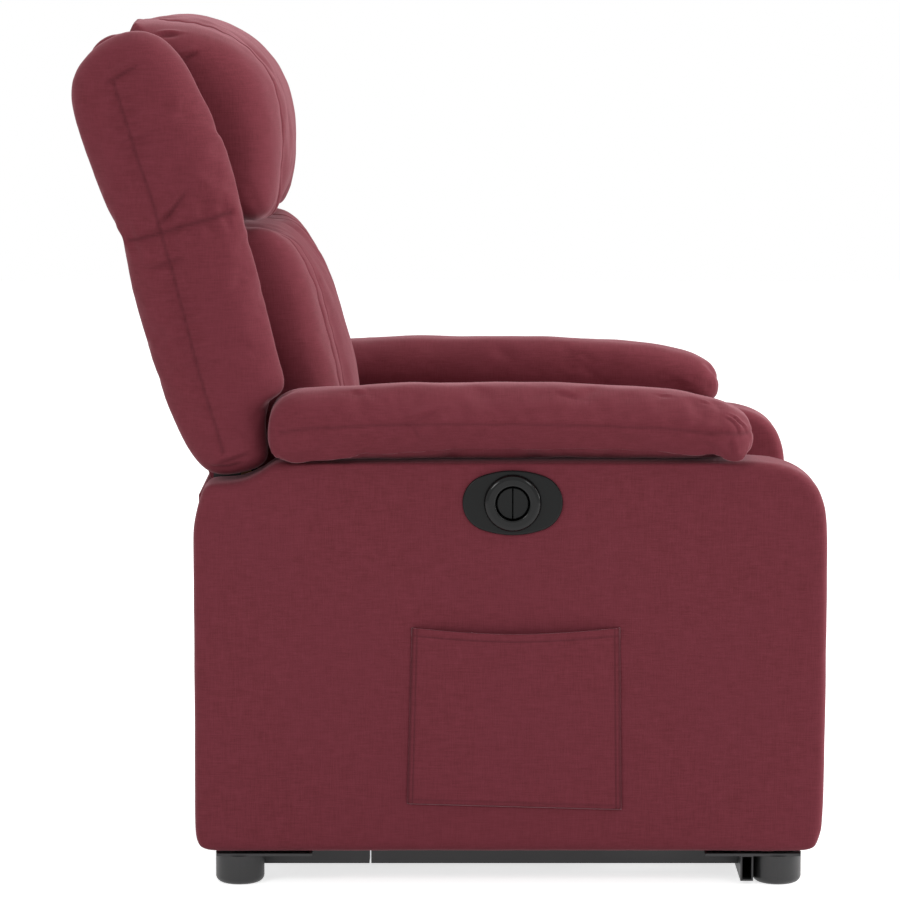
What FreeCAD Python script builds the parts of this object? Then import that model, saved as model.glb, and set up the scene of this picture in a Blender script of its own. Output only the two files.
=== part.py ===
import FreeCAD, Part
import math
import os

# Lift recliner chair. Millimetres, +Z up, the floor at Z = 0, the front towards -Y.
# The occupant's right is -X: that side carries the control and the pocket.

V = FreeCAD.Vector

# Arms
ARM_INNER = 250.0           # centre plane to the inner face of an arm
ARM_THICK = 95.0
PANEL_FRONT = -440.4
PANEL_REAR = 303.0
PANEL_BOTTOM = 40.0
PANEL_TOP = 504.5
PANEL_HEEL_TOP = 478.0      # lower top edge under the back wing
PANEL_CURVE = 96.0          # size of the large front top curve
PANEL_CORNER = 22.0         # bottom corner radius
PANEL_EDGE = 11.0           # rounding of the outer edges
FOAM = 25.0                 # padding over the arm timber
PAD_LIP = 25.0              # pad past the panel's outer face
PAD_INNER_LIP = 8.0         # pad past the panel's inner face
PAD_FRONT = -352.0
PAD_REAR = 214.0
PAD_HEIGHT = 86.5
PAD_EDGE = 36.0
TIMBER = 40.0               # width of the arm timbers
BOARD_CLEAR = 3.0           # end of the bottom timber to the padding

# Side pocket
POCKET_FRONT = -199.0
POCKET_REAR = 49.0
POCKET_BOTTOM = 97.0
POCKET_TOP = 305.0
POCKET_MOUTH = 10.0         # how far the mouth stands off the panel
POCKET_SKIN = 2.5

# Control on the right arm
CONTROL_Y = -71.0
CONTROL_Z = 457.0
PLATE_LENGTH = 117.0
PLATE_HEIGHT = 76.0
PLATE_THICK = 4.0
PLATE_END = 33.5            # radius of the plate's two ends
RING_RADIUS = 33.5
RING_BORE = 20.0
RING_HEIGHT = 7.0
SWITCH_RADIUS = 25.0
SWITCH_DEPTH = 23.0
SWITCH_WALL = 3.0
BUTTON_RADIUS = 18.2
BUTTON_GAP = 1.0
BUTTON_LENGTH = 19.0
BUTTON_TRAVEL = 1.5
BUTTON_DROP = 3.0           # button face below the ring's top
BUTTON_EDGE = 1.2
STEM_RADIUS = 3.0
STEM_CLEAR = 0.08
SLEEVE_WALL = 2.0
LEAD_DIA = 4.0
LEAD_CLEAR = 0.4            # channel round the lead
LEAD_DROP = 192.0           # switch to the control box
CONTROL_BOX_X = 186.0       # centre plane to the outer face of the control box
CONTROL_BOX_LENGTH = 80.0
CONTROL_BOX_WIDTH = 60.0
CONTROL_BOX_HEIGHT = 28.0

# Base on the floor
FOOT_X = 310.0
FOOT_FRONT_Y = -385.6
FOOT_REAR_Y = 251.0
FOOT_DIA = 57.5
FOOT_HEIGHT = 35.0
FOOT_ROUND = 8.0
FOOT_RECESS = 9.0
BOLT_DIA = 8.0
BOLT_HEAD_DIA = 12.8
BOLT_HEAD_HEIGHT = 5.2
RAIL_OUTER = 285.0          # centre plane to the outer face of a side rail
RAIL_WIDTH = 30.0
RAIL_HEIGHT = 20.0
RAIL_WALL = 2.0
RAIL_JOINT_Y = 97.0
RAIL_GAP = 2.0
RAIL_REAR_Y = 235.0
FRONT_TUBE_DEPTH = 15.0
FRONT_TUBE_BOTTOM = 4.0
FRONT_TUBE_HALF = 331.0
FRONT_TUBE_CLEAR = 0.5
PLATE_STEEL = 3.0           # corner and splice plates
CORNER_PLATE = 60.0         # corner plate past the foot's edge
PLATE_SETBACK = 2.5         # corner plate inside the foot's edge
SPLICE_HALF = 55.0          # half length of a splice plate
SPLICE_MARGIN = 3.0         # rail edge to the edge of a plate
MID_TUBE_Y = -185.0
MID_TUBE_DEPTH = 50.0
REAR_TUBE_Y = 205.0

# Lift linkage in the side view (Y, Z)
LIFT_A = (-196.89, 72.63)    # lower link to the tower
LIFT_B = (-179.97, 132.19)   # upper link to the tower
LIFT_C = (137.22, 74.06)     # lower link to the chair
LIFT_D = (242.15, 190.33)    # upper link to the chair
MOTOR_G = (-176.64, 58.08)   # lift motor to the base
MOTOR_H = (2.45, 289.57)     # lift rod to the chair
LIFT_STROKE = 142.2
LIFT_SLOT_ANGLE = 104.7      # direction of the slot for the lift rod's pin, degrees
LIFT_SLOT_BACK = 4.9         # pin travel down the slot
LIFT_SLOT_AHEAD = 0.4
LIFT_SLOT_FLOAT = 0.4

# Linkage steel
PIN_DIA = 12.0
PIN_CLEAR = 0.05
LINK_WIDTH = 30.0
LINK_THICK = 6.0
SIDE_PLATE = 5.0
LANE_GAP = 1.5
TOWER_THICK = 5.0
TIE_DIA = 16.0
TORQUE_DIA = 25.0
TORQUE_WALL = 2.5
TORQUE_SHARE = 0.77          # place of the torque tube along the lower link
TIE_SHARE = 0.75             # place of the tie along the upper link
FLOAT_D = 1.6                # clearance of the upper link's eye on its chair pin

# Chair steel
CHAIR_RAIL_TOP = 315.0
CHAIR_RAIL_HEIGHT = 30.0
CHAIR_RAIL_FRONT = -400.0
CHAIR_RAIL_REAR = 288.0
CROSS_DEPTH = 25.0
CROSS_HEIGHT = 25.0
CROSS_FRONT_Y = 40.0
CROSS_REAR_Y = 150.0
SHELF_THICK = 4.0
LUG_WALL = 3.0              # lug past a link's half width
EAR_WALL = 6.0              # steel round the lift rod's slot
GLIDE_THICK = 2.0
GLIDE_LENGTH = 60.0
FRONT_GLIDE_Y = -340.0

# Seat
SEAT_RAIL_BOTTOM = 297.0
SEAT_RAIL_HEIGHT = 36.0
SEAT_RAIL_WIDTH = 20.0
SEAT_RAIL_OUTER = 229.0
SEAT_RAIL_FRONT = -372.0
SEAT_RAIL_REAR = 235.0
WEB_THICK = 2.0
WEB_WIDTH = 50.0
WEB_COUNT = 5
WEB_HALF = 184.0             # centre plane to the outer edge of the webbing
HANGER_BAR_RAISE = 10.0      # motor cross bar above the bottom of the seat rails
HANGER_BAR_HEIGHT = 18.0
FRONT_BAR_SETBACK = 4.0
SEAT_BAR_HEIGHT = 25.0
SEAT_TOP = 462.0
SEAT_FRONT = -430.0
SEAT_REAR = 113.0
SEAT_CROWN = 4.0
SEAT_SIDE_CLEAR = 4.0
SEAT_SLIDE = 75.0
CUSHION_CLEAR = 0.3

# Back
HINGE_P = (268.0, 508.0)
HINGE_LUG = 15.0
RECLINE = 35.0
DRIVE_ARM = 127.7            # hinge to the seat drive pin
DRIVE_LEAD = 5.0             # degrees that the drive arm leans rearward
DRIVE_PIN_DIA = 10.0
DRIVE_FLOAT = 1.5
ARM_PLATE = 5.0
ARM_PLATE_WIDTH = 24.0
BACK_REAR_Y = 297.0          # rear face of the back shell at BACK_REAR_Z
BACK_REAR_Z = 505.0
BACK_LEAN = 0.31             # rearward lean per unit height
SHELL_THICK = 14.0
SHELL_BOTTOM = 470.0
SHELL_TOP = 942.0            # height at which the shell starts to roll forward
BACK_SLAT = 60.0             # height of a cross slat of the back frame
FRAME_THICK = 35.0
FRAME_BOTTOM = 447.0
FRAME_TOP = 940.0
FRAME_RAIL = 23.0
NOTCH_CLEAR = 6.0            # shell above the hinge lug
WING_INNER = 251.0
WING_OUTER = 336.0
WING_EDGE = 30.0
WING_HEEL = 484.6
WING_TOP = 1005.5
LUMBAR_HALF = 240.5
HEAD_HALF = 246.0
LUMBAR_BOTTOM = 342.0
LUMBAR_TOP = 784.0
LUMBAR_FRONT = 126.0         # lower front face, behind the seat cushion
LUMBAR_BELLY = 107.0         # foremost Y of the lumbar cushion
HEAD_FRONT = 190.0           # foremost Y of the head pillow
HEAD_TOP = 1020.0
PIPING_INSET = 98.0
PIPING_DEPTH = 3.0
PIPING_WIDTH = 6.0
BACK_EDGE = 26.0
NOSE_REACH = 16.0           # how far past a back cushion's end its rounded front would close
NOSE_POWER = 3.3            # fullness of that rounding across the chair

# Footrest chain in the side view (Y, Z)
FOOT_O = (-201.64, 317.15)   # thigh link to the seat
FOOT_M = (-152.68, 91.68)    # thigh link to the shin link
FOOT_K = (-343.51, 242.43)   # shin link to the pad bracket
FOOT_S = (-132.63, 323.76)   # second link to the seat
FOOT_T = (-92.02, 90.38)     # second link to the shin link
FOOT_U = (-133.86, 134.08)   # pad link to the thigh link
FOOT_W = (-333.60, 281.19)   # pad link to the pad bracket
RECLINE_G = (17.16, 202.47)  # recline motor to the seat
RECLINE_H = (-225.43, 219.11)  # recline rod to the thigh lever
RECLINE_STROKE = 95.0
LEVER_SLOT_ANGLE = 63.67     # direction of the lever's slot, degrees
LEVER_SLOT = 14.7            # pin travel up the slot
LEVER_FLOAT = 1.9
FOOT_PIN_DIA = 10.0
FOOT_LINK_WIDTH = 22.0
FOOT_LINK_THICK = 5.0
FOOT_LANE_GAP = 0.6
FLOAT_T = 1.9
FLOAT_W = 1.6
FOOT_TUBE_DIA = 18.0
PAD_BOTTOM_Z = 60.0
PAD_TOP_Z = 338.0
PAD_FACE_Y = -430.0
PAD_BOARD_THICK = 15.0
PAD_DEPTH = 54.0
PAD_HALF = 243.0

# Motors
MOTOR_LANE = 62.0            # centre plane to a motor's middle plane
MOTOR_CAN_DIA = 56.0
MOTOR_CAN_LENGTH = 95.0
GEARBOX_LENGTH = 62.0
GEARBOX_HEIGHT = 66.0
GEARBOX_WIDTH = 44.0
MOTOR_TUBE_DIA = 34.0
MOTOR_TUBE_WALL = 3.0
ROD_DIA = 18.0
ROD_CLEAR = 0.05
EYE_RADIUS = 13.0
EYE_WIDTH = 18.0
NECK_LENGTH = 15.0           # motor neck past its eye
NECK_HALF = 9.0
TUBE_DROP = 4.0              # gearbox past the tube's far side
TUBE_END_GAP = 22.0          # tube end to the rod's eye
CAN_END_GAP = 5.0
ROD_IN_TUBE = 15.0           # rod that stays in its tube when run out
EAR_THICK = 5.0
EAR_CLEAR = 0.5

ARM_OUTER = ARM_INNER + ARM_THICK
PIN_R = PIN_DIA / 2.0
HOLE_R = PIN_R + PIN_CLEAR
FOOT_PIN_R = FOOT_PIN_DIA / 2.0
FOOT_HOLE_R = FOOT_PIN_R + PIN_CLEAR
RAIL_TOP = FOOT_HEIGHT
RAIL_BOTTOM = RAIL_TOP - RAIL_HEIGHT
RAIL_INNER = RAIL_OUTER - RAIL_WIDTH
SEAT_RAIL_TOP = SEAT_RAIL_BOTTOM + SEAT_RAIL_HEIGHT
CROSS_TOP = SEAT_RAIL_BOTTOM - GLIDE_THICK
PLATE_LANE = ARM_INNER - SIDE_PLATE                    # inner face of the side plate
UPPER_LANE = PLATE_LANE - LANE_GAP                     # outer face of the upper link
TOWER_LANE = UPPER_LANE - LINK_THICK - LANE_GAP / 1.5  # outer face of the tower
LOWER_LANE = TOWER_LANE - TOWER_THICK - LANE_GAP / 1.5  # outer face of the lower link
BACK_ARM_LANE = PLATE_LANE - 3.0                       # outer face of the back's arm plate
SEAT_RAIL_INNER = SEAT_RAIL_OUTER - SEAT_RAIL_WIDTH
PAD_LINK_LANE = SEAT_RAIL_INNER - FOOT_LANE_GAP         # outer face of the pad link
THIGH_LANE = PAD_LINK_LANE - FOOT_LINK_THICK - FOOT_LANE_GAP
SHIN_LANE = THIGH_LANE - FOOT_LINK_THICK - FOOT_LANE_GAP
SECOND_LANE = SHIN_LANE - FOOT_LINK_THICK - FOOT_LANE_GAP

PARTS = {}


def save(name, *shapes):
    """Stores the solids of one sub-part under its node name."""
    PARTS.setdefault(name, []).extend(shapes)


def box(x0, x1, y0, y1, z0, z1):
    """A box between two corners."""
    return Part.makeBox(abs(x1 - x0), abs(y1 - y0), abs(z1 - z0), V(min(x0, x1), min(y0, y1), min(z0, z1)))


def rod_x(radius, x0, x1, at):
    """A cylinder along X at the side-view point."""
    return Part.makeCylinder(radius, abs(x1 - x0), V(min(x0, x1), at[0], at[1]), V(1, 0, 0))


def rod_z(radius, x, y, z0, z1):
    """An upright cylinder."""
    return Part.makeCylinder(radius, z1 - z0, V(x, y, z0), V(0, 0, 1))


def rod_along(radius, x, start, end):
    """A cylinder in the plane X = x between two side-view points."""
    a = V(x, start[0], start[1])
    b = V(x, end[0], end[1])
    return Part.makeCylinder(radius, (b - a).Length, a, b - a)


def between(a, b, share):
    """The side-view point at a share of the way from a to b."""
    return (a[0] + (b[0] - a[0]) * share, a[1] + (b[1] - a[1]) * share)


def shifted(point, direction, distance):
    """The side-view point at a distance along a unit direction."""
    return (point[0] + direction[0] * distance, point[1] + direction[1] * distance)


def unit(a, b):
    """Unit direction from a to b in the side view."""
    length = math.hypot(b[0] - a[0], b[1] - a[1])
    return ((b[0] - a[0]) / length, (b[1] - a[1]) / length)


def distance(a, b):
    """Length between two side-view points."""
    return math.hypot(b[0] - a[0], b[1] - a[1])


def outline(steps):
    """A closed side-view wire at X = 0. A step is an end point, or a middle and an end point of an arc."""
    edges = []
    here = V(0, *steps[-1][-1])
    for step in steps:
        end = V(0, *step[-1])
        if len(step) == 2:
            edges.append(Part.Arc(here, V(0, *step[0]), end).toShape())
        else:
            edges.append(Part.LineSegment(here, end).toShape())
        here = end
    return Part.Wire(edges)


def slab(steps, x0, x1):
    """A side-view outline with thickness from x0 to x1."""
    face = Part.Face(outline(steps))
    face.translate(V(min(x0, x1), 0, 0))
    return face.extrude(V(abs(x1 - x0), 0, 0))


def polygon(points, x0, x1):
    """A straight-sided side-view plate."""
    return slab([(point,) for point in points], x0, x1)


def link(a, b, width, x0, x1, holes=()):
    """A flat bar with round ends from a to b, with bored (point, radius) holes."""
    radius = width / 2.0
    along = unit(a, b)
    across = (-along[1] * radius, along[0] * radius)
    corners = [(a[0] + across[0], a[1] + across[1]), (b[0] + across[0], b[1] + across[1]),
               (b[0] - across[0], b[1] - across[1]), (a[0] - across[0], a[1] - across[1])]
    tip_a = shifted(a, along, -radius)
    tip_b = shifted(b, along, radius)
    bar = slab([(corners[1],), (tip_b, corners[2]), (corners[3],), (tip_a, corners[0])], x0, x1)
    return drilled(bar, x0, x1, holes)


def drilled(plate, x0, x1, holes):
    """A plate with (point, radius) holes bored through it along X."""
    for at, radius in holes:
        plate = plate.cut(rod_x(radius, min(x0, x1) - 1.0, max(x0, x1) + 1.0, at))
    return plate


def mirrored(shape):
    """The same piece on the other side of the chair."""
    return shape.mirror(V(0, 0, 0), V(1, 0, 0))


def both(name, shape):
    """Stores a left piece and its mirrored right piece as two nodes."""
    save(name + "_left", shape)
    save(name + "_right", mirrored(shape))


def pair(name, shape):
    """Stores a left piece and its mirrored right piece in one node."""
    save(name, shape, mirrored(shape))


def tube(x0, x1, y0, y1, z0, z1, wall, along):
    """A rectangular tube, open at its ends along 'x' or 'y'."""
    outer = box(x0, x1, y0, y1, z0, z1)
    if along == "x":
        return outer.cut(box(x0, x1, y0 + wall, y1 - wall, z0 + wall, z1 - wall))
    return outer.cut(box(x0 + wall, x1 - wall, y0, y1, z0 + wall, z1 - wall))


def edge_of(start, middle, end):
    """An arc through three points, or a straight edge where they line up."""
    bend = (middle - start).cross(end - start).Length / (end - start).Length
    if bend < 0.02:
        return Part.LineSegment(start, end).toShape()
    return Part.Arc(start, middle, end).toShape()


def soft_section(points, x, inset, lean, nose):
    """A closed wire through an even number of side-view points, drawn in towards the leaning middle line.

    nose is the share of its reach that the front keeps at this X.
    """
    upright = [(y - lean * z, z) for y, z in points]
    across = [point[0] for point in upright]
    heights = [point[1] for point in upright]
    middle = ((max(across) + min(across)) / 2.0, (max(heights) + min(heights)) / 2.0)
    half = ((max(across) - min(across)) / 2.0, (max(heights) - min(heights)) / 2.0)
    moved = []
    for y, z in upright:
        drawn_y = middle[0] + (y - middle[0]) * (1.0 - inset / half[0]) * (nose if y < middle[0] else 1.0)
        drawn_z = middle[1] + (z - middle[1]) * (1.0 - inset / half[1])
        moved.append(V(x, drawn_y + lean * drawn_z, drawn_z))
    count = len(points)
    edges = [edge_of(moved[i], moved[i + 1], moved[(i + 2) % count]) for i in range(0, count, 2)]
    return Part.Wire(edges)


def soft_body(points, x0, x1, edge, lean=0.0, crown=0.0, seams=(), nose=0.0):
    """A stuffed form: the side-view outline, drawn in round both faces, with grooves at the seams.

    With a nose, the front is rounded across the chair and would close that far past the ends.
    """
    stations = []
    for degrees in range(0, 91, 18):
        a = math.radians(degrees)
        depth = edge * (1.0 - math.cos(a))
        inset = edge * (1.0 - math.sin(a))
        stations.append((x0 + depth, inset))
        stations.append((x1 - depth, inset))
    middle = (x0 + x1) / 2.0
    reach = (x1 - x0) / 2.0 - edge
    for share in (-0.9, -0.75, -0.5, -0.25, 0.0, 0.25, 0.5, 0.75, 0.9):
        stations.append((middle + share * reach, -crown * (1.0 - share * share)))
    for x in seams:
        stations = [station for station in stations if abs(station[0] - x) > PIPING_WIDTH]
        stations += [(x - PIPING_WIDTH, 0.0), (x, PIPING_DEPTH), (x + PIPING_WIDTH, 0.0)]
    wires = []
    for x, inset in sorted(stations):
        share = abs(x - middle) / ((x1 - x0) / 2.0 + nose)
        front = (1.0 - share ** NOSE_POWER) ** (1.0 / NOSE_POWER) if nose else 1.0
        wires.append(soft_section(points, x, inset, lean, front))
    return Part.makeLoft(wires, True, True)


def back_y(z, depth=0.0):
    """Y of the back's rear plane at a height, less a depth forward of it."""
    return BACK_REAR_Y + BACK_LEAN * (z - BACK_REAR_Z) - depth


def make_base():
    """Rails, cross tubes, plates and feet that stand on the floor."""
    front_face = FOOT_FRONT_Y + FOOT_DIA / 2.0 + FRONT_TUBE_CLEAR
    front_rear = front_face + FRONT_TUBE_DEPTH
    both("side_rail_front", tube(RAIL_INNER, RAIL_OUTER, front_rear, RAIL_JOINT_Y - RAIL_GAP / 2.0,
                                 RAIL_BOTTOM, RAIL_TOP, RAIL_WALL, "y"))
    both("side_rail_rear", tube(RAIL_INNER, RAIL_OUTER, RAIL_JOINT_Y + RAIL_GAP / 2.0, RAIL_REAR_Y,
                                RAIL_BOTTOM, RAIL_TOP, RAIL_WALL, "y"))
    save("front_cross_tube", tube(-FRONT_TUBE_HALF, FRONT_TUBE_HALF, front_face, front_rear,
                                  FRONT_TUBE_BOTTOM, RAIL_TOP, RAIL_WALL, "x"))
    save("mid_cross_tube", tube(-RAIL_INNER, RAIL_INNER, MID_TUBE_Y - MID_TUBE_DEPTH / 2.0,
                                MID_TUBE_Y + MID_TUBE_DEPTH / 2.0, RAIL_BOTTOM, RAIL_TOP, RAIL_WALL, "x"))
    save("rear_cross_tube", tube(-RAIL_INNER, RAIL_INNER, REAR_TUBE_Y, RAIL_REAR_Y,
                                 RAIL_BOTTOM, RAIL_TOP, RAIL_WALL, "x"))
    splice = box(RAIL_INNER + SPLICE_MARGIN, RAIL_OUTER - SPLICE_MARGIN, RAIL_JOINT_Y - SPLICE_HALF,
                 RAIL_JOINT_Y + SPLICE_HALF, RAIL_TOP, RAIL_TOP + PLATE_STEEL)
    pair("corner_plates", splice)
    make_foot(FOOT_FRONT_Y, 1.0)
    make_foot(FOOT_REAR_Y, -1.0)


def make_foot(y, inward):
    """A pair of feet at one Y, with the corner plates and bolts that hold them.

    inward is the sign of the direction to the chair's middle.
    """
    plate_top = RAIL_TOP + PLATE_STEEL
    margin = FOOT_DIA / 2.0 - PLATE_SETBACK
    plate = box(RAIL_INNER + SPLICE_MARGIN, FOOT_X + margin, y - inward * margin,
                y + inward * (margin + CORNER_PLATE), RAIL_TOP, plate_top)
    pair("corner_plates", plate.cut(rod_z(BOLT_DIA / 2.0, FOOT_X, y, RAIL_TOP, plate_top)))
    foot = rod_z(FOOT_DIA / 2.0, FOOT_X, y, 0.0, FOOT_HEIGHT)
    rim = [edge for edge in foot.Edges if edge.BoundBox.ZMax < 1.0 and edge.BoundBox.XLength > FOOT_DIA / 2.0]
    foot = foot.makeFillet(FOOT_ROUND, rim)
    foot = foot.cut(rod_z(BOLT_DIA / 2.0, FOOT_X, y, 0.0, FOOT_HEIGHT))
    pair("feet", foot.cut(rod_z(BOLT_DIA, FOOT_X, y, 0.0, FOOT_RECESS)))
    bolt = rod_z(BOLT_DIA / 2.0, FOOT_X, y, FOOT_RECESS, plate_top)
    head = rod_z(BOLT_HEAD_DIA / 2.0, FOOT_X, y, FOOT_RECESS - BOLT_HEAD_HEIGHT, FOOT_RECESS)
    pair("foot_bolts", bolt.fuse(head))


def make_towers():
    """Upright plates on the middle tube with the fixed pivots of the lift links."""
    x0 = TOWER_LANE - TOWER_THICK
    foot_half = MID_TUBE_DEPTH / 2.0 - 1.0
    radius = LINK_WIDTH / 2.0
    low = (LIFT_A[0] - radius, LIFT_A[1])
    plate = slab([((MID_TUBE_Y - foot_half, RAIL_TOP),), (low,),
                  ((LIFT_B[0] - radius, LIFT_B[1]),),
                  ((LIFT_B[0], LIFT_B[1] + radius), (LIFT_B[0] + radius, LIFT_B[1])),
                  ((MID_TUBE_Y + foot_half, RAIL_TOP),)], x0, TOWER_LANE)
    plate = drilled(plate, x0, TOWER_LANE, [(LIFT_A, PIN_R), (LIFT_B, PIN_R)])
    both("pivot_tower", plate)
    lower_pin = rod_x(PIN_R, LOWER_LANE - LINK_THICK - 3.0, TOWER_LANE, LIFT_A)
    upper_pin = rod_x(PIN_R, x0, UPPER_LANE, LIFT_B)
    pair("base_pins", lower_pin)
    pair("base_pins", upper_pin)
    for x, inner in motor_ears(1.0):
        ear = link(MOTOR_G, (MOTOR_G[0], MOTOR_G[1] - 1.0), LINK_WIDTH, x, inner)
        ear = ear.fuse(box(x, inner, MOTOR_G[0] - LINK_WIDTH / 2.0, MOTOR_G[0] + LINK_WIDTH / 2.0, RAIL_TOP,
                           MOTOR_G[1]))
        ear = ear.cut(box(x - 1.0, inner + 1.0, MOTOR_G[0] - LINK_WIDTH, MOTOR_G[0] + LINK_WIDTH, 0.0,
                          RAIL_TOP))
        save("mid_cross_tube", drilled(ear, x, inner, [(MOTOR_G, PIN_R)]))
    save("base_pins", ear_pin(1.0, MOTOR_G))


def motor_ears(side):
    """X spans of the two bracket ears that hold a motor's eye."""
    middle = side * MOTOR_LANE
    inner = EYE_WIDTH / 2.0 + EAR_CLEAR
    return ((middle - inner - EAR_THICK, middle - inner), (middle + inner, middle + inner + EAR_THICK))


def ear_pin(side, at):
    """The pin through both ears and the eye between them."""
    spans = motor_ears(side)
    return rod_x(PIN_R, spans[0][0], spans[1][1], at)


def make_lift_links():
    """Lower and upper link pairs with their cross ties."""
    lower = link(LIFT_A, LIFT_C, LINK_WIDTH, LOWER_LANE - LINK_THICK, LOWER_LANE,
                 [(LIFT_A, HOLE_R), (LIFT_C, HOLE_R)])
    both("lower_link", lower)
    tie_at = between(LIFT_A, LIFT_C, TORQUE_SHARE)
    inner = LOWER_LANE - LINK_THICK
    torque = rod_x(TORQUE_DIA / 2.0, -inner, inner, tie_at)
    torque = torque.cut(rod_x(TORQUE_DIA / 2.0 - TORQUE_WALL, -inner, inner, tie_at))
    save("torque_tube", torque)
    upper = link(LIFT_B, LIFT_D, LINK_WIDTH, UPPER_LANE - LINK_THICK, UPPER_LANE,
                 [(LIFT_B, HOLE_R), (LIFT_D, PIN_R + FLOAT_D)])
    pair("upper_links", upper)
    half = UPPER_LANE - LINK_THICK
    save("upper_links", rod_x(TIE_DIA / 2.0, -half, half, between(LIFT_B, LIFT_D, TIE_SHARE)))


def make_motor(name, side, start, end, stroke, can_side):
    """A linear motor from its fixed eye to its rod's eye.

    can_side is the side of the tube the can lies on.
    """
    along = unit(start, end)
    up = (-along[1] * can_side, along[0] * can_side)
    x = side * MOTOR_LANE
    half = EYE_WIDTH / 2.0
    gear_start = EYE_RADIUS + NECK_LENGTH - 1.0
    gear_end = gear_start + GEARBOX_LENGTH
    gear_low = -MOTOR_TUBE_DIA / 2.0 - TUBE_DROP
    gear_high = gear_low + GEARBOX_HEIGHT + MOTOR_CAN_DIA / 2.0
    eye = rod_x(EYE_RADIUS, x - half, x + half, start)
    neck = block_along(start, along, up, x, half, 0.0, EYE_RADIUS + NECK_LENGTH, -NECK_HALF, NECK_HALF)
    gearbox = block_along(start, along, up, x, GEARBOX_WIDTH / 2.0, gear_start, gear_end, gear_low, gear_high)
    housing = drilled(eye.fuse(neck).fuse(gearbox), x - half, x + half, [(start, HOLE_R)])
    tube_end = distance(start, end) - EYE_RADIUS - TUBE_END_GAP
    tube_from, tube_to = shifted(start, along, gear_end), shifted(start, along, tube_end)
    outer = rod_along(MOTOR_TUBE_DIA / 2.0, x, tube_from, tube_to)
    outer = outer.cut(rod_along(ROD_DIA / 2.0 + ROD_CLEAR, x, tube_from, tube_to))
    can_from = shifted(tube_from, up, gear_high - MOTOR_CAN_DIA / 2.0)
    can_length = min(MOTOR_CAN_LENGTH, tube_end - gear_end - CAN_END_GAP)
    can = rod_along(MOTOR_CAN_DIA / 2.0 - 1.0, x, can_from, shifted(can_from, along, can_length))
    save(name + "_motor", housing, outer, can)
    rod_start = max(min(gear_end + 2.0, tube_end - stroke + ROD_IN_TUBE), gear_end + 1.0)
    rod = rod_along(ROD_DIA / 2.0, x, shifted(start, along, rod_start), end)
    rod = rod.fuse(rod_x(EYE_RADIUS, x - half, x + half, end))
    save(name + "_rod", drilled(rod, x - half, x + half, [(end, PIN_R)]), ear_pin(side, end))


def block_along(start, along, up, x, half, from_, to, low, high):
    """A block in a motor's own directions: along the rod, and up across it."""
    corners = []
    for reach, height in ((from_, low), (to, low), (to, high), (from_, high)):
        corners.append(shifted(shifted(start, along, reach), up, height))
    return polygon(corners, x - half, x + half)


def make_chair_steel():
    """Side plates, cross tubes and pins that carry the arms, the seat and the back."""
    for plate in side_plate_parts():
        both("side_plate", plate)
    for y in (CROSS_FRONT_Y, CROSS_REAR_Y):
        save("chair_cross_tubes", tube(-PLATE_LANE, PLATE_LANE, y, y + CROSS_DEPTH,
                                       CROSS_TOP - CROSS_HEIGHT, CROSS_TOP, RAIL_WALL, "x"))
        pair("seat_glides", box(SEAT_RAIL_INNER, SEAT_RAIL_OUTER, y, y + CROSS_DEPTH,
                                CROSS_TOP, SEAT_RAIL_BOTTOM))
    shelf = box(SEAT_RAIL_INNER, PLATE_LANE, FRONT_GLIDE_Y, FRONT_GLIDE_Y + GLIDE_LENGTH,
                CROSS_TOP - SHELF_THICK, CROSS_TOP)
    pair("chair_cross_tubes", shelf)
    pair("seat_glides", box(SEAT_RAIL_INNER, SEAT_RAIL_OUTER, FRONT_GLIDE_Y,
                            FRONT_GLIDE_Y + GLIDE_LENGTH, CROSS_TOP, SEAT_RAIL_BOTTOM))
    pair("chair_pins", rod_x(PIN_R, LOWER_LANE - LINK_THICK, ARM_INNER, LIFT_C))
    pair("chair_pins", rod_x(PIN_R, UPPER_LANE - LINK_THICK, ARM_INNER, LIFT_D))
    pair("chair_pins", rod_x(PIN_R, BACK_ARM_LANE - ARM_PLATE, ARM_INNER, HINGE_P))
    make_lift_ears()


def side_plate_parts():
    """The left side plate: its rail, two lugs for the lift links and the upright for the back's hinge."""
    low = CHAIR_RAIL_TOP - CHAIR_RAIL_HEIGHT
    radius = LINK_WIDTH / 2.0 + LUG_WALL
    rail = box(PLATE_LANE, ARM_INNER, CHAIR_RAIL_FRONT, CHAIR_RAIL_REAR, low, CHAIR_RAIL_TOP)
    parts = [cut_all(rail, [arm_bolt(at) for at in arm_bolt_points()])]
    for at, spread in ((LIFT_C, 1.6 * radius), (LIFT_D, 1.4 * radius)):
        lug = slab([((at[0] - spread, low),), ((at[0] + spread, low),), ((at[0] + radius, at[1]),),
                    ((at[0], at[1] - radius), (at[0] - radius, at[1]))], PLATE_LANE, ARM_INNER)
        parts.append(drilled(lug, PLATE_LANE, ARM_INNER, [(at, PIN_R)]))
    y, z = HINGE_P
    upright = slab([((y - 2.0 * HINGE_LUG, CHAIR_RAIL_TOP),), ((y + HINGE_LUG, CHAIR_RAIL_TOP),),
                    ((y + HINGE_LUG, z),), ((y, z + HINGE_LUG), (y - HINGE_LUG, z))], PLATE_LANE, ARM_INNER)
    parts.append(drilled(upright, PLATE_LANE, ARM_INNER, [(HINGE_P, PIN_R)]))
    return parts


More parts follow.
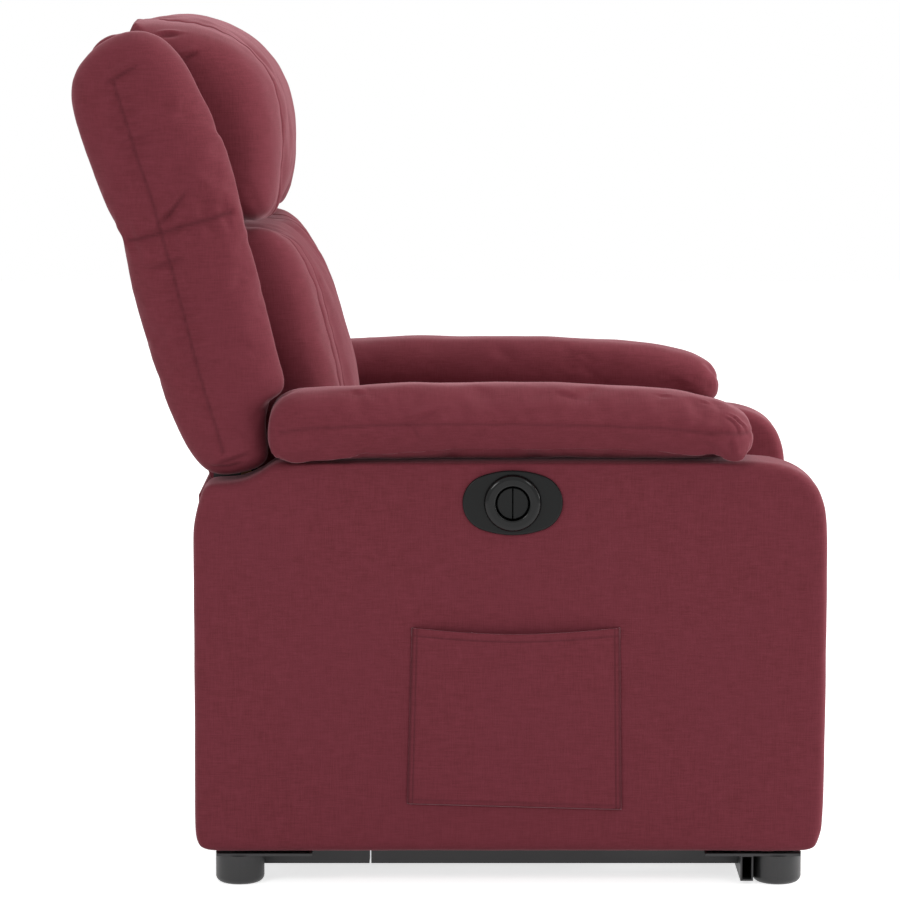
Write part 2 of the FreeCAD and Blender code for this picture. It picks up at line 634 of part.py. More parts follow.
def make_lift_ears():
    """Two ears on the front cross tube, slotted for the lift rod's pin."""
    slot_way = (math.cos(math.radians(LIFT_SLOT_ANGLE)), math.sin(math.radians(LIFT_SLOT_ANGLE)))
    slot_low = shifted(MOTOR_H, slot_way, -LIFT_SLOT_BACK)
    slot_high = shifted(MOTOR_H, slot_way, LIFT_SLOT_AHEAD)
    slot_radius = PIN_R + LIFT_SLOT_FLOAT
    for x, inner in motor_ears(1.0):
        ear = box(x, inner, slot_low[0] - slot_radius - 2.0 * EAR_WALL, CROSS_FRONT_Y,
                  slot_low[1] - slot_radius - EAR_WALL, slot_high[1] + slot_radius + EAR_WALL)
        slot = link(slot_low, slot_high, 2.0 * slot_radius, x, inner)
        save("chair_cross_tubes", ear.cut(slot))


def panel_steps():
    """The arm panel's side-view outline."""
    c = PANEL_CORNER
    k = c * (1.0 - math.sqrt(0.5))
    big = PANEL_CURVE
    front, rear, low, top, heel = PANEL_FRONT, PANEL_REAR, PANEL_BOTTOM, PANEL_TOP, PANEL_HEEL_TOP
    return [((rear - c, low),),
            ((rear - k, low + k), (rear, low + c)),
            ((rear, heel - 55.0),),
            ((rear - 4.5, heel - 28.0), (rear - 14.0, heel - 6.0)),
            ((rear - 14.0, heel),),
            ((rear - 52.0, heel),),
            ((PAD_REAR - 4.0, heel + 0.67 * (top - heel)),),
            ((PAD_REAR - 11.0, top),),
            ((front + big, top),),
            ((front + 0.56 * big, top - 0.085 * big), (front + 0.24 * big, top - 0.245 * big)),
            ((front + 0.07 * big, top - 0.52 * big), (front, top - 0.97 * big)),
            ((front, low + c),),
            ((front + k, low + k), (front + c, low))]


def cavity_points():
    """Corners of the space inside an arm panel that the timber stands in."""
    gap = 14.0
    return [(PANEL_FRONT + gap, PANEL_BOTTOM + gap), (PANEL_REAR - gap - 3.0, PANEL_BOTTOM + gap),
            (PANEL_REAR - gap - 18.0, PANEL_HEEL_TOP - gap),
            (PANEL_FRONT + PANEL_CURVE, PANEL_HEEL_TOP - gap),
            (PANEL_FRONT + gap, PANEL_TOP - PANEL_CURVE - gap)]


def make_arms():
    """Timber, upholstered panels and pads of both arms."""
    panel = slab(panel_steps(), ARM_INNER, ARM_OUTER)
    below = PANEL_HEEL_TOP - 50.0
    ahead = PANEL_FRONT + PANEL_CURVE + 0.1
    face_edges = [edge for edge in panel.Edges if edge.BoundBox.XMin > ARM_OUTER - 0.1
                  and (edge.BoundBox.ZMax < below or edge.BoundBox.YMax < ahead)]
    panel = panel.makeFillet(min(PANEL_EDGE, PANEL_CORNER - 2.0, FOAM - 2.0), face_edges)
    panel = panel.cut(polygon(cavity_points(), ARM_INNER + FOAM, ARM_OUTER - FOAM))
    bolts = [arm_bolt(at) for at in arm_bolt_points()]
    both("arm_panel", cut_all(panel, bolts))
    for board in arm_boards():
        both("arm_frame", cut_all(board, bolts))
    both("arm_pad", arm_pad())
    for bolt in bolts:
        pair("chair_pins", bolt)


def arm_boards():
    """The five timbers inside the left arm: bottom, front, rear, top and the slanting front corner."""
    inner = ARM_INNER + FOAM
    outer = ARM_OUTER - FOAM
    low_front, low_rear, high_rear, high_front, front_top = cavity_points()
    low = low_front[1]
    top = high_rear[1]
    corner = high_front[0] + TIMBER / 2.0
    return [box(inner, outer, low_front[0], low_rear[0] - BOARD_CLEAR, low, low + TIMBER),
            box(inner, outer, low_front[0], low_front[0] + TIMBER, low + TIMBER, front_top[1]),
            box(inner, outer, high_rear[0] - TIMBER, high_rear[0], low + TIMBER, top - TIMBER),
            box(inner, outer, corner, high_rear[0], top - TIMBER, top),
            polygon([front_top, (front_top[0] + TIMBER, front_top[1]), (corner, top - TIMBER), (corner, top),
                     high_front], inner, outer)]


def arm_bolt(at):
    """A countersunk bolt from the side plate into the arm timber."""
    shank = rod_x(BOLT_DIA / 2.0, PLATE_LANE, ARM_OUTER - FOAM, at)
    head = Part.makeCone(BOLT_DIA, BOLT_DIA / 2.0, BOLT_DIA / 2.0, V(PLATE_LANE, at[0], at[1]), V(1, 0, 0))
    return shank.fuse(head)


def cut_all(shape, tools):
    """The shape with every tool cut from it."""
    for tool in tools:
        shape = shape.cut(tool)
    return shape


def arm_bolt_points():
    """Side-view points of the bolts from the side plate into the arm timber."""
    middle = CHAIR_RAIL_TOP - CHAIR_RAIL_HEIGHT / 2.0
    corners = cavity_points()
    return [(corners[0][0] + TIMBER / 2.0 + 12.0, middle), (corners[2][0] - TIMBER / 2.0, middle)]


def arm_pad():
    """The pillow pad on the left arm."""
    low = PANEL_TOP + CUSHION_CLEAR
    high = PANEL_TOP + PAD_HEIGHT
    front, rear = PAD_FRONT, PAD_REAR
    side = low + 0.5 * (high - low) - 5.0
    points = [(front + 26.0, low), (-60.0, low), (rear - 26.0, low), (rear - 7.0, low + 9.0), (rear, side),
              (rear - 5.0, high - 26.0), (rear - 24.0, high - 10.0), (rear - 80.0, high - 2.0), (-30.0, high),
              (front + 190.0, high - 2.5), (front + 60.0, high - 12.0), (front + 16.0, high - 31.0),
              (front, side), (front + 7.0, low + 10.0)]
    return soft_body(points, ARM_INNER - PAD_INNER_LIP, ARM_OUTER + PAD_LIP, PAD_EDGE)


def make_pocket():
    """The sewn pocket on the right panel, standing off at its mouth."""
    skin = POCKET_SKIN
    wedge = pocket_wedge(POCKET_FRONT, POCKET_REAR, skin, 0.0)
    hollow = pocket_wedge(POCKET_FRONT + skin, POCKET_REAR - skin, 0.0, skin)
    save("side_pocket", mirrored(wedge.cut(hollow)))


def pocket_wedge(y0, y1, skin, lift):
    """A wedge against the panel, thin at the bottom and as deep as the mouth at the top."""
    base = ARM_OUTER
    low = POCKET_BOTTOM + lift
    high = POCKET_TOP if skin else POCKET_TOP + 1.0
    points = [V(base, y0, low), V(base + 0.5 + skin, y0, low), V(base + POCKET_MOUTH + skin, y0, high),
              V(base, y0, high)]
    wire = Part.makePolygon(points + points[:1])
    return Part.Face(wire).extrude(V(0, y1 - y0, 0))


def make_valance():
    """The upholstered rear board between the arms, with the power inlet."""
    rear = PANEL_REAR - 2.0
    front = rear - 9.0
    inlet_x = -150.0
    socket = box(inlet_x - 14.0, inlet_x + 14.0, front - 14.0, rear + 2.0, 80.0, 98.0)
    board = box(-ARM_INNER, ARM_INNER, front, rear, PANEL_BOTTOM + 15.0, SHELL_BOTTOM - 12.0)
    save("rear_valance", board.cut(socket))
    mouth = box(inlet_x - 9.0, inlet_x + 9.0, rear - 8.0, rear + 2.0, 84.0, 94.0)
    save("control_box", socket.cut(mouth))


def oval(length, height, end, x0, x1, at):
    """An upright four-centred oval plate facing along X, with ends of that radius."""
    along = length / 2.0 - end
    rise = height / 2.0 - end
    drop = (along ** 2 - rise ** 2) / (2.0 * rise)
    lean = math.atan2(drop, along)
    corner = (along + end * math.cos(lean), end * math.sin(lean))
    half_x, half_z = length / 2.0, height / 2.0
    steps = []
    for sx, sz in ((1.0, 1.0), (-1.0, -1.0)):
        steps.append(((at[0], at[1] + sz * half_z), (at[0] - sx * corner[0], at[1] + sz * corner[1])))
        steps.append(((at[0] - sx * half_x, at[1]), (at[0] - sx * corner[0], at[1] - sz * corner[1])))
    return slab(steps, x0, x1)


def make_control():
    """Oval plate, ring, switch body and two half-moon buttons on the right arm, drawn on +X and mirrored."""
    at = (CONTROL_Y, CONTROL_Z)
    face = ARM_OUTER
    front = face + PLATE_THICK
    top = front + RING_HEIGHT
    plate = oval(PLATE_LENGTH, PLATE_HEIGHT, PLATE_END, face, front, at)
    plate = plate.makeFillet(PLATE_THICK * 0.6, [e for e in plate.Edges if e.BoundBox.XMin > front - 0.1])
    save("control_plate", mirrored(plate.cut(rod_x(RING_BORE, face, front, at))))
    ring = rod_x(RING_RADIUS, front, top, at)
    ring = ring.makeFillet(RING_HEIGHT * 0.85, [e for e in ring.Edges if e.BoundBox.XMin > front + 1.0])
    ring = ring.cut(rod_x(RING_BORE, face, top, at))
    ring = ring.makeFillet(RING_HEIGHT * 0.3, [e for e in ring.Edges if e.BoundBox.XMin > front + 1.0
                                               and e.BoundBox.YLength < RING_BORE * 2.0 + 1.0])
    save("control_ring", mirrored(ring))
    cup = rod_x(SWITCH_RADIUS, face - SWITCH_DEPTH, face, at)
    cup = cup.cut(rod_x(RING_BORE, face - SWITCH_DEPTH + SWITCH_WALL, face, at))
    exit_ = (CONTROL_Y, CONTROL_Z - RING_BORE + LEAD_DIA)
    save("switch_housing", mirrored(cup.cut(rod_x(LEAD_DIA / 2.0, face - SWITCH_DEPTH, face, exit_))))
    make_button("recline_button", 1.0, top - BUTTON_DROP)
    make_button("lift_button", -1.0, top - BUTTON_DROP)
    make_lead(exit_)


def make_button(name, side, top):
    """A half-moon button on one side of the split, with its stem in a sleeve of the switch body."""
    at = (CONTROL_Y, CONTROL_Z)
    low = top - BUTTON_LENGTH
    floor = ARM_OUTER - SWITCH_DEPTH + SWITCH_WALL
    disc = rod_x(BUTTON_RADIUS, low, top, at)
    cutter = box(low - 1.0, top + 1.0, CONTROL_Y + side * BUTTON_GAP / 2.0,
                 CONTROL_Y - side * 2.0 * BUTTON_RADIUS,
                 CONTROL_Z - 2 * BUTTON_RADIUS, CONTROL_Z + 2 * BUTTON_RADIUS)
    half = disc.cut(cutter)
    half = half.makeFillet(BUTTON_EDGE, [e for e in half.Edges if e.BoundBox.XMin > top - 0.1])
    stem_at = (CONTROL_Y + side * BUTTON_RADIUS / 2.0, CONTROL_Z)
    stem = rod_x(STEM_RADIUS, floor + BUTTON_TRAVEL + 0.5, low + 1.0, stem_at)
    save(name, mirrored(half.fuse(stem)))
    sleeve = rod_x(STEM_RADIUS + SLEEVE_WALL, floor, low - BUTTON_TRAVEL - 0.5, stem_at)
    sleeve = sleeve.cut(rod_x(STEM_RADIUS + STEM_CLEAR, floor, low, stem_at))
    save("switch_housing", mirrored(sleeve))


def make_lead(exit_):
    """The lead inside the right arm, from the switch to the control box under the seat."""
    start_x = ARM_OUTER - SWITCH_DEPTH + SWITCH_WALL
    y, z = exit_
    steps = ((0.0, 0.0), (25.0, 0.0), (37.0, 0.19), (37.0, 0.45), (38.0, 0.71), (47.0, 0.88), (71.0, 0.97),
             (103.0, 1.0))
    route = [V(start_x - inward, y, z - drop * LEAD_DROP) for inward, drop in steps]
    route.append(V(CONTROL_BOX_X, y, z - LEAD_DROP))
    channel = mirrored(rounded_tube(route, LEAD_DIA / 2.0 + LEAD_CLEAR))
    save("switch_lead", mirrored(rounded_tube(route, LEAD_DIA / 2.0)))
    hole = mirrored(rod_x(SWITCH_RADIUS, ARM_OUTER - SWITCH_DEPTH, ARM_OUTER, (CONTROL_Y, CONTROL_Z)))
    panel = PARTS["arm_panel_right"][0]
    PARTS["arm_panel_right"] = [panel.cut(hole).cut(channel)]
    PARTS["arm_frame_right"] = [board.cut(channel) for board in PARTS["arm_frame_right"]]
    make_control_box(y, z - LEAD_DROP)


def make_control_box(y, z):
    """The control box on a hanger under the front cross tube."""
    half = CONTROL_BOX_WIDTH / 2.0
    top = z + CONTROL_BOX_HEIGHT / 2.0
    inner = CONTROL_BOX_X - CONTROL_BOX_LENGTH
    save("control_box", mirrored(box(inner, CONTROL_BOX_X, y - half, y + half, z - CONTROL_BOX_HEIGHT / 2.0,
                                     top)))
    bar_x = inner + 20.0
    bar = box(bar_x, bar_x + 20.0, y - half, CROSS_FRONT_Y + CROSS_DEPTH, top, top + PLATE_STEEL)
    stem = box(bar_x, bar_x + 20.0, CROSS_FRONT_Y, CROSS_FRONT_Y + CROSS_DEPTH, top + PLATE_STEEL,
               CROSS_TOP - CROSS_HEIGHT)
    save("chair_cross_tubes", mirrored(bar.fuse(stem)))


def rounded_tube(route, radius):
    """A tube along straight runs joined by tangent arcs as large as the runs allow."""
    edges = []
    here = route[0]
    for i in range(1, len(route) - 1):
        before = route[i] - route[i - 1]
        after = route[i + 1] - route[i]
        turn = before.getAngle(after)
        shorter = min(before.Length, after.Length)
        bend = 0.45 * shorter / math.tan(turn / 2.0) if turn > 1e-3 else 0.0
        if bend <= 0.0:
            continue
        trim = 0.45 * shorter
        a = route[i] - V(before).normalize() * trim
        b = route[i] + V(after).normalize() * trim
        chord = (a + b) * 0.5
        inward = V(chord - route[i]).normalize()
        reach = bend / math.cos(turn / 2.0) - bend
        edges.append(Part.LineSegment(here, a).toShape())
        edges.append(Part.Arc(a, route[i] + inward * reach, b).toShape())
        here = b
    edges.append(Part.LineSegment(here, route[-1]).toShape())
    wire = Part.Wire(edges)
    ring = Part.Wire(Part.Circle(route[0], route[1] - route[0], radius).toShape())
    return wire.makePipeShell([ring], True, False)


def make_seat():
    """Seat frame, webbing and cushion, which slide forward together."""
    inner = SEAT_RAIL_INNER
    low, top = SEAT_RAIL_BOTTOM, SEAT_RAIL_TOP
    rail = box(inner, SEAT_RAIL_OUTER, SEAT_RAIL_FRONT, SEAT_RAIL_REAR, low, top)
    for at in (FOOT_O, FOOT_S):
        rail = rail.cut(rod_x(FOOT_PIN_R, inner, SEAT_RAIL_OUTER - 2.0, at))
    pair("seat_frame", rail)
    bar = SEAT_RAIL_WIDTH + 5.0
    front_bar = SEAT_RAIL_FRONT + FRONT_BAR_SETBACK
    save("seat_frame", box(-inner, inner, front_bar, front_bar + bar, top - SEAT_BAR_HEIGHT, top))
    save("seat_frame", box(-inner, inner, SEAT_RAIL_REAR - bar, SEAT_RAIL_REAR, low, top))
    first = WEB_WIDTH / 2.0 - WEB_HALF
    step = -2.0 * first / (WEB_COUNT - 1)
    for i in range(WEB_COUNT):
        x = first + i * step
        save("seat_webbing", box(x - WEB_WIDTH / 2.0, x + WEB_WIDTH / 2.0, front_bar, SEAT_RAIL_REAR,
                                 top, top + WEB_THICK))
    bottom = top + WEB_THICK + CUSHION_CLEAR + SEAT_CROWN
    lip = PAD_TOP_Z + 8.0
    points = [(SEAT_RAIL_FRONT + 40.0, bottom), (-110.0, bottom), (SEAT_REAR - 24.0, bottom),
              (SEAT_REAR - 5.0, bottom + 18.0), (SEAT_REAR, (bottom + SEAT_TOP) / 2.0),
              (SEAT_REAR - 5.0, SEAT_TOP - 28.0),
              (SEAT_REAR - 28.0, SEAT_TOP - 8.0), (-10.0, SEAT_TOP - 1.5), (-160.0, SEAT_TOP),
              (-290.0, SEAT_TOP - 1.5),
              (SEAT_FRONT + 60.0, SEAT_TOP - 10.0), (SEAT_FRONT + 16.0, SEAT_TOP - 34.0),
              (SEAT_FRONT, SEAT_TOP - 72.0),
              (SEAT_FRONT + 4.0, lip + 12.0), (SEAT_FRONT + 20.0, lip), (SEAT_FRONT + 60.0, lip - 4.0)]
    half = ARM_INNER - SEAT_SIDE_CLEAR
    save("seat_cushion", soft_body(points, -half, half, 26.0, 0.0, SEAT_CROWN))
    drive = drive_pin_point()
    radius = DRIVE_PIN_DIA / 2.0 + DRIVE_FLOAT
    end_angle = math.radians(RECLINE - DRIVE_LEAD)
    high = HINGE_P[1] - DRIVE_ARM * math.cos(end_angle)
    outer = SEAT_RAIL_OUTER + 6.0
    rear = drive[0] + radius + 4.0
    plate = polygon([(SEAT_RAIL_REAR - 40.0, low), (rear, low), (rear, high + radius + 8.0),
                     (drive[0] - radius - 8.0, high + radius + 8.0), (drive[0] - radius - 8.0, top),
                     (SEAT_RAIL_REAR - 40.0, top)], SEAT_RAIL_OUTER, outer)
    slot = link((drive[0], drive[1] - 1.0), (drive[0], high + 1.0), 2.0 * radius, SEAT_RAIL_OUTER, outer)
    pair("seat_frame", plate.cut(slot))


def drive_pin_point():
    """Side-view point of the pin that pushes the seat."""
    lean = math.radians(DRIVE_LEAD)
    return (HINGE_P[0] + DRIVE_ARM * math.sin(lean), HINGE_P[1] - DRIVE_ARM * math.cos(lean))


def wing_points():
    """The side-view outline of a back wing, anticlockwise from its heel.

    Each point is its distance from the back's rear plane and its share of the wing's height.
    """
    shape = ((-40.2, 0.0094), (-19.7, 0.0000), (-3.0, 0.0142), (8.0, 0.0641), (16.0, 0.1505), (15.4, 0.2407),
             (12.6, 0.4193), (7.1, 0.5095), (13.1, 0.6208), (15.1, 0.7322), (11.1, 0.8474), (4.3, 0.8896),
             (-16.4, 0.9395), (-48.9, 0.9798), (-81.2, 1.0000), (-106.4, 0.9952), (-124.4, 0.9645),
             (-132.2, 0.9261),
             (-144.1, 0.8263), (-149.5, 0.7360), (-148.6, 0.6439), (-147.7, 0.5325), (-140.4, 0.4193),
             (-135.5, 0.3271),
             (-128.1, 0.2254), (-110.6, 0.1851), (-90.8, 0.1217), (-82.0, 0.0641), (-70.7, 0.0372),
             (-55.9, 0.0200))
    heights = [WING_HEEL + share * (WING_TOP - WING_HEEL) for ahead, share in shape]
    return [(back_y(z) + point[0], z) for point, z in zip(shape, heights)]


def make_back():
    """Frame, shell, wings and cushions that recline together."""
    arm_outer = BACK_ARM_LANE
    arm_inner = arm_outer - ARM_PLATE
    drive = drive_pin_point()
    plate = link(HINGE_P, drive, ARM_PLATE_WIDTH, arm_inner, arm_outer, [(HINGE_P, HOLE_R)])
    pair("back_arm_plates", drilled(plate, arm_inner, arm_outer, [(drive, DRIVE_PIN_DIA / 2.0)]))
    pair("back_arm_plates", rod_x(DRIVE_PIN_DIA / 2.0, SEAT_RAIL_OUTER - 1.0, arm_outer, drive))
    make_back_frame(arm_inner)
    make_back_shell(arm_inner)
    both("back_wing", soft_body(wing_points(), WING_INNER, WING_OUTER, WING_EDGE, BACK_LEAN))
    save("lumbar_cushion", lumbar())
    save("head_pillow", head_pillow())


def back_board(low, high, x0, x1):
    """A board of the back frame between two heights, just in front of the shell."""
    front = SHELL_THICK + FRAME_THICK
    corners = [(back_y(low, front), low), (back_y(low, SHELL_THICK), low),
               (back_y(high, SHELL_THICK), high), (back_y(high, front), high)]
    return polygon(corners, x0, x1)


def make_back_frame(outer):
    """Two side rails and three cross slats."""
    inner = outer - FRAME_RAIL
    pair("back_frame", back_board(FRAME_BOTTOM, FRAME_TOP, inner, outer))
    middle = 0.5 * (FRAME_BOTTOM + FRAME_TOP)
    for low in (FRAME_BOTTOM + BACK_SLAT, middle, FRAME_TOP - BACK_SLAT):
        save("back_frame", back_board(low, low + BACK_SLAT, -inner, inner))


def make_back_shell(arm_inner):
    """The upholstered board behind the frame, rolled forward over its top and notched round the hinges."""
    top = SHELL_TOP
    rear_top = back_y(top)
    shell = slab([((back_y(SHELL_BOTTOM), SHELL_BOTTOM),), ((rear_top, top),),
                  ((rear_top - 10.0, top + 38.0), (rear_top - 44.0, top + 58.0)),
                  ((rear_top - 45.0, top + 46.0),),
                  ((rear_top - 22.0, top + 28.0), (back_y(top, SHELL_THICK), top)),
                  ((back_y(SHELL_BOTTOM, SHELL_THICK), SHELL_BOTTOM),)], -HEAD_HALF, HEAD_HALF)
    notch_top = HINGE_P[1] + HINGE_LUG + NOTCH_CLEAR
    for side in (-1.0, 1.0):
        shell = shell.cut(box(side * (arm_inner - 0.5), side * (HEAD_HALF + 1.0), HINGE_P[0] - 68.0,
                              HINGE_P[0] + 132.0, SHELL_BOTTOM - 170.0, notch_top))
    save("back_shell", shell)


def lumbar():
    """The lumbar cushion, which reaches down behind the seat cushion."""
    gap = SHELL_THICK + FRAME_THICK + CUSHION_CLEAR
    low, top, front, belly = LUMBAR_BOTTOM, LUMBAR_TOP, LUMBAR_FRONT, LUMBAR_BELLY
    rear = back_y(SEAT_TOP - 22.0, gap)
    rear_top = back_y(top, gap)
    points = [(front + 16.0, low), (front + 54.0, low), (rear - 18.0, low), (rear - 5.0, low + 12.0),
              (rear, low + 45.0),
              (rear, low + 70.0), (rear, SEAT_TOP - 22.0), (back_y(top - 184.0, gap), top - 184.0),
              (back_y(top - 44.0, gap), top - 44.0), (rear_top - 13.0, top - 22.0),
              (rear_top - 24.0, top - 3.0),
              (belly + 163.0, top), (belly + 128.0, top - 1.0), (belly + 97.0, top - 5.0),
              (belly + 77.0, top - 18.0),
              (belly + 56.0, top - 53.0), (belly + 34.0, top - 103.0), (belly + 20.0, top - 148.0),
              (belly + 6.0, top - 202.0), (belly + 1.0, top - 239.0), (belly, top - 279.0),
              (belly + 3.0, top - 302.0),
              (belly + 11.0, SEAT_TOP + 6.0), (front - 1.0, SEAT_TOP - 7.0), (front, SEAT_TOP - 22.0),
              (front, low + 60.0), (front, low + 30.0), (front + 4.0, low + 9.0)]
    return soft_body(points, -LUMBAR_HALF, LUMBAR_HALF, BACK_EDGE, BACK_LEAN, nose=NOSE_REACH)


def head_pillow():
    """The head pillow, which rolls over the top of the frame."""
    gap = SHELL_THICK + FRAME_THICK + CUSHION_CLEAR
    low, top, front = LUMBAR_TOP + 1.0, HEAD_TOP, HEAD_FRONT
    over = FRAME_TOP + CUSHION_CLEAR
    rear_low, rear_over = back_y(low, gap), back_y(over, gap)
    points = [(front + 40.0, low + 1.5), (front + 85.0, low), (rear_low - 22.0, low + 2.0),
              (rear_low - 8.5, low + 11.0),
              (back_y(low + 45.0, gap), low + 45.0), (back_y(low + 105.0, gap), low + 105.0),
              (rear_over, over),
              (rear_over + 1.5, over + 12.0), (rear_over + 1.0, over + 24.0), (rear_over - 2.0, over + 45.0),
              (front + 181.0, top - 12.0), (front + 170.0, top - 5.0), (front + 155.0, top - 1.5),
              (front + 130.0, top), (front + 92.0, top - 7.0), (front + 66.0, top - 19.0),
              (front + 42.0, top - 37.0),
              (front + 23.0, top - 57.0), (front + 9.0, top - 87.0), (front, top - 128.0),
              (front + 0.5, top - 160.0),
              (front + 6.0, top - 190.0), (front + 14.0, top - 214.0), (front + 23.0, low + 6.0)]
    seam = HEAD_HALF - PIPING_INSET
    return soft_body(points, -HEAD_HALF, HEAD_HALF, BACK_EDGE, BACK_LEAN, 0.0, (-seam, seam), NOSE_REACH)


def make_footrest():
    """The folding chain under the seat with its board and pad."""
    bolt = FOOT_PIN_R
    hole = FOOT_HOLE_R
    thick = FOOT_LINK_THICK
    wide = FOOT_LINK_WIDTH
    in_thigh, in_shin, in_pad = THIGH_LANE - thick, SHIN_LANE - thick, PAD_LINK_LANE - thick
    in_second = SECOND_LANE - thick
    thigh = link(FOOT_O, FOOT_M, wide, in_thigh, THIGH_LANE)
    thigh = thigh.fuse(link(FOOT_U, between(FOOT_O, FOOT_M, 0.85), wide - 2.0, in_thigh, THIGH_LANE))
    pair("thigh_links", drilled(thigh, in_thigh, THIGH_LANE, [(FOOT_O, hole), (FOOT_M, bolt),
                                                              (FOOT_U, bolt)]))
    pair("thigh_links", rod_x(bolt, in_shin, THIGH_LANE, FOOT_M))
    pair("thigh_links", rod_x(bolt, in_thigh, PAD_LINK_LANE, FOOT_U))
    second = link(FOOT_S, FOOT_T, wide - 2.0, in_second, SECOND_LANE,
                  [(FOOT_S, hole), (FOOT_T, bolt + FLOAT_T)])
    pair("second_links", second)
    shin = link(FOOT_T, FOOT_M, wide, in_shin, SHIN_LANE).fuse(link(FOOT_M, FOOT_K, wide, in_shin, SHIN_LANE))
    pair("shin_links", drilled(shin, in_shin, SHIN_LANE, [(FOOT_T, bolt), (FOOT_M, hole), (FOOT_K, bolt)]))
    pair("shin_links", rod_x(bolt, in_second, SHIN_LANE, FOOT_T))
    pair("shin_links", rod_x(bolt, in_shin, THIGH_LANE, FOOT_K))
    pair("pad_links", link(FOOT_U, FOOT_W, wide, in_pad, PAD_LINK_LANE,
                           [(FOOT_U, hole), (FOOT_W, bolt + FLOAT_W)]))
    board_rear = PAD_FACE_Y + PAD_DEPTH
    low, high = FOOT_K[1] - wide / 2.0, FOOT_W[1] + wide / 2.0
    ear = link(FOOT_K, FOOT_W, wide, in_thigh, THIGH_LANE)
    ear = ear.fuse(box(in_thigh, THIGH_LANE, board_rear, FOOT_K[0], low, high))
    pair("pad_brackets", drilled(ear, in_thigh, THIGH_LANE, [(FOOT_K, hole), (FOOT_W, bolt)]))
    pair("pad_brackets", box(THIGH_LANE, THIGH_LANE + 18.0, board_rear, board_rear + 4.0, low, high))
    pair("pad_brackets", rod_x(bolt, in_thigh, PAD_LINK_LANE, FOOT_W))
    save("footrest_board", box(-PAD_HALF + 12.0, PAD_HALF - 12.0, board_rear - PAD_BOARD_THICK, board_rear,
                               PAD_BOTTOM_Z + 8.0, PAD_TOP_Z - 8.0))
    save("footrest_pad", footrest_pad(board_rear - PAD_BOARD_THICK))
    spacer = rod_x(bolt + 3.0, in_pad, SEAT_RAIL_INNER, FOOT_O)
    spacer = spacer.cut(rod_x(bolt, in_pad, SEAT_RAIL_INNER, FOOT_O))
    pair("seat_frame", spacer)
    pair("seat_frame", rod_x(bolt, in_thigh, SEAT_RAIL_OUTER - 2.0, FOOT_O))
    pair("seat_frame", rod_x(bolt, in_second, SEAT_RAIL_OUTER - 2.0, FOOT_S))
    make_lever(in_thigh)


def footrest_pad(rear):
    """The padded front of the footrest."""
    low, top, face = PAD_BOTTOM_Z, PAD_TOP_Z, PAD_FACE_Y
    back = rear - CUSHION_CLEAR
    middle = (low + top) / 2.0
    centre = (face + back) / 2.0
    points = [(face + 12.0, low + 1.0), (centre, low), (back - 10.0, low + 1.0), (back - 3.0, low + 11.5),
              (back, low + 24.0),
              (back, middle), (back, top - 24.0), (back - 3.0, top - 11.5), (back - 10.0, top - 1.0),
              (centre, top),
              (face + 12.0, top - 1.0), (face + 4.0, top - 10.0), (face + 2.0, top - 34.0), (face, middle),
              (face + 2.0, low + 34.0), (face + 4.0, low + 10.0)]
    return soft_body(points, -PAD_HALF, PAD_HALF, 14.0)


def make_lever(tube_half):
    """The tube between the thigh links, its slotted lever, and the recline motor's hanger on the seat."""
    tube_radius = FOOT_TUBE_DIA / 2.0
    torque = rod_x(tube_radius, -tube_half, tube_half, FOOT_O)
    save("thigh_links", torque.cut(rod_x(tube_radius - 2.0, -tube_half, tube_half, FOOT_O)))
    way = (math.cos(math.radians(LEVER_SLOT_ANGLE)), math.sin(math.radians(LEVER_SLOT_ANGLE)))
    radius = PIN_R + LEVER_FLOAT
    low = shifted(RECLINE_H, way, -1.0)
    high = shifted(RECLINE_H, way, LEVER_SLOT + 1.0)
    half = LINK_WIDTH / 2.0
    for x, inner in motor_ears(-1.0):
        lever = link(low, high, 2.0 * radius + 12.0, x, inner)
        lever = lever.fuse(link(high, FOOT_O, 2.0 * radius + 8.0, x, inner))
        lever = lever.cut(rod_x(tube_radius, x, inner, FOOT_O))
        save("thigh_links", lever.cut(link(low, high, 2.0 * radius, x, inner)))
        hanger = box(x, inner, RECLINE_G[0] - half, RECLINE_G[0] + half, RECLINE_G[1],
                     SEAT_RAIL_BOTTOM + HANGER_BAR_RAISE)
        hanger = hanger.fuse(rod_x(half, x, inner, RECLINE_G))
        save("seat_frame", drilled(hanger, x, inner, [(RECLINE_G, PIN_R)]))
    bar_low = SEAT_RAIL_BOTTOM + HANGER_BAR_RAISE
    save("seat_frame", box(-SEAT_RAIL_INNER, SEAT_RAIL_INNER, RECLINE_G[0] - half, RECLINE_G[0] + half,
                           bar_low, bar_low + HANGER_BAR_HEIGHT))
    save("seat_frame", ear_pin(-1.0, RECLINE_G))


make_base()
make_towers()
make_lift_links()
make_motor("lift", 1.0, MOTOR_G, MOTOR_H, LIFT_STROKE, -1.0)
make_motor("recline", -1.0, RECLINE_G, RECLINE_H, RECLINE_STROKE, 1.0)
make_chair_steel()
make_arms()
make_pocket()
make_valance()
make_control()
make_seat()
make_back()
make_footrest()

os.makedirs("parts", exist_ok=True)
for node, shapes in PARTS.items():
    shape = shapes[0] if len(shapes) == 1 else Part.makeCompound(shapes)
    shape.exportStep("parts/" + node + ".step")
    print(node, len(shape.Solids), "%.1f cm3" % (shape.Volume / 1000.0),
          "valid" if shape.isValid() else "INVALID")
print(len(PARTS), "nodes")
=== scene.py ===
"""Lift recliner chair in wine red woven fabric, dressed around its packed steel, timber and foam model.

Metres in the scene, millimetres in the tables of sizes. +Z is up, the front looks towards -Y, and the
occupant's right, which carries the control and the pocket, is at -X.
"""

import logging
import math
from dataclasses import dataclass, replace
from enum import Enum
from typing import Callable, Sequence

import bpy
import numpy as np
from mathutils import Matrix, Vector
from mathutils.bvhtree import BVHTree


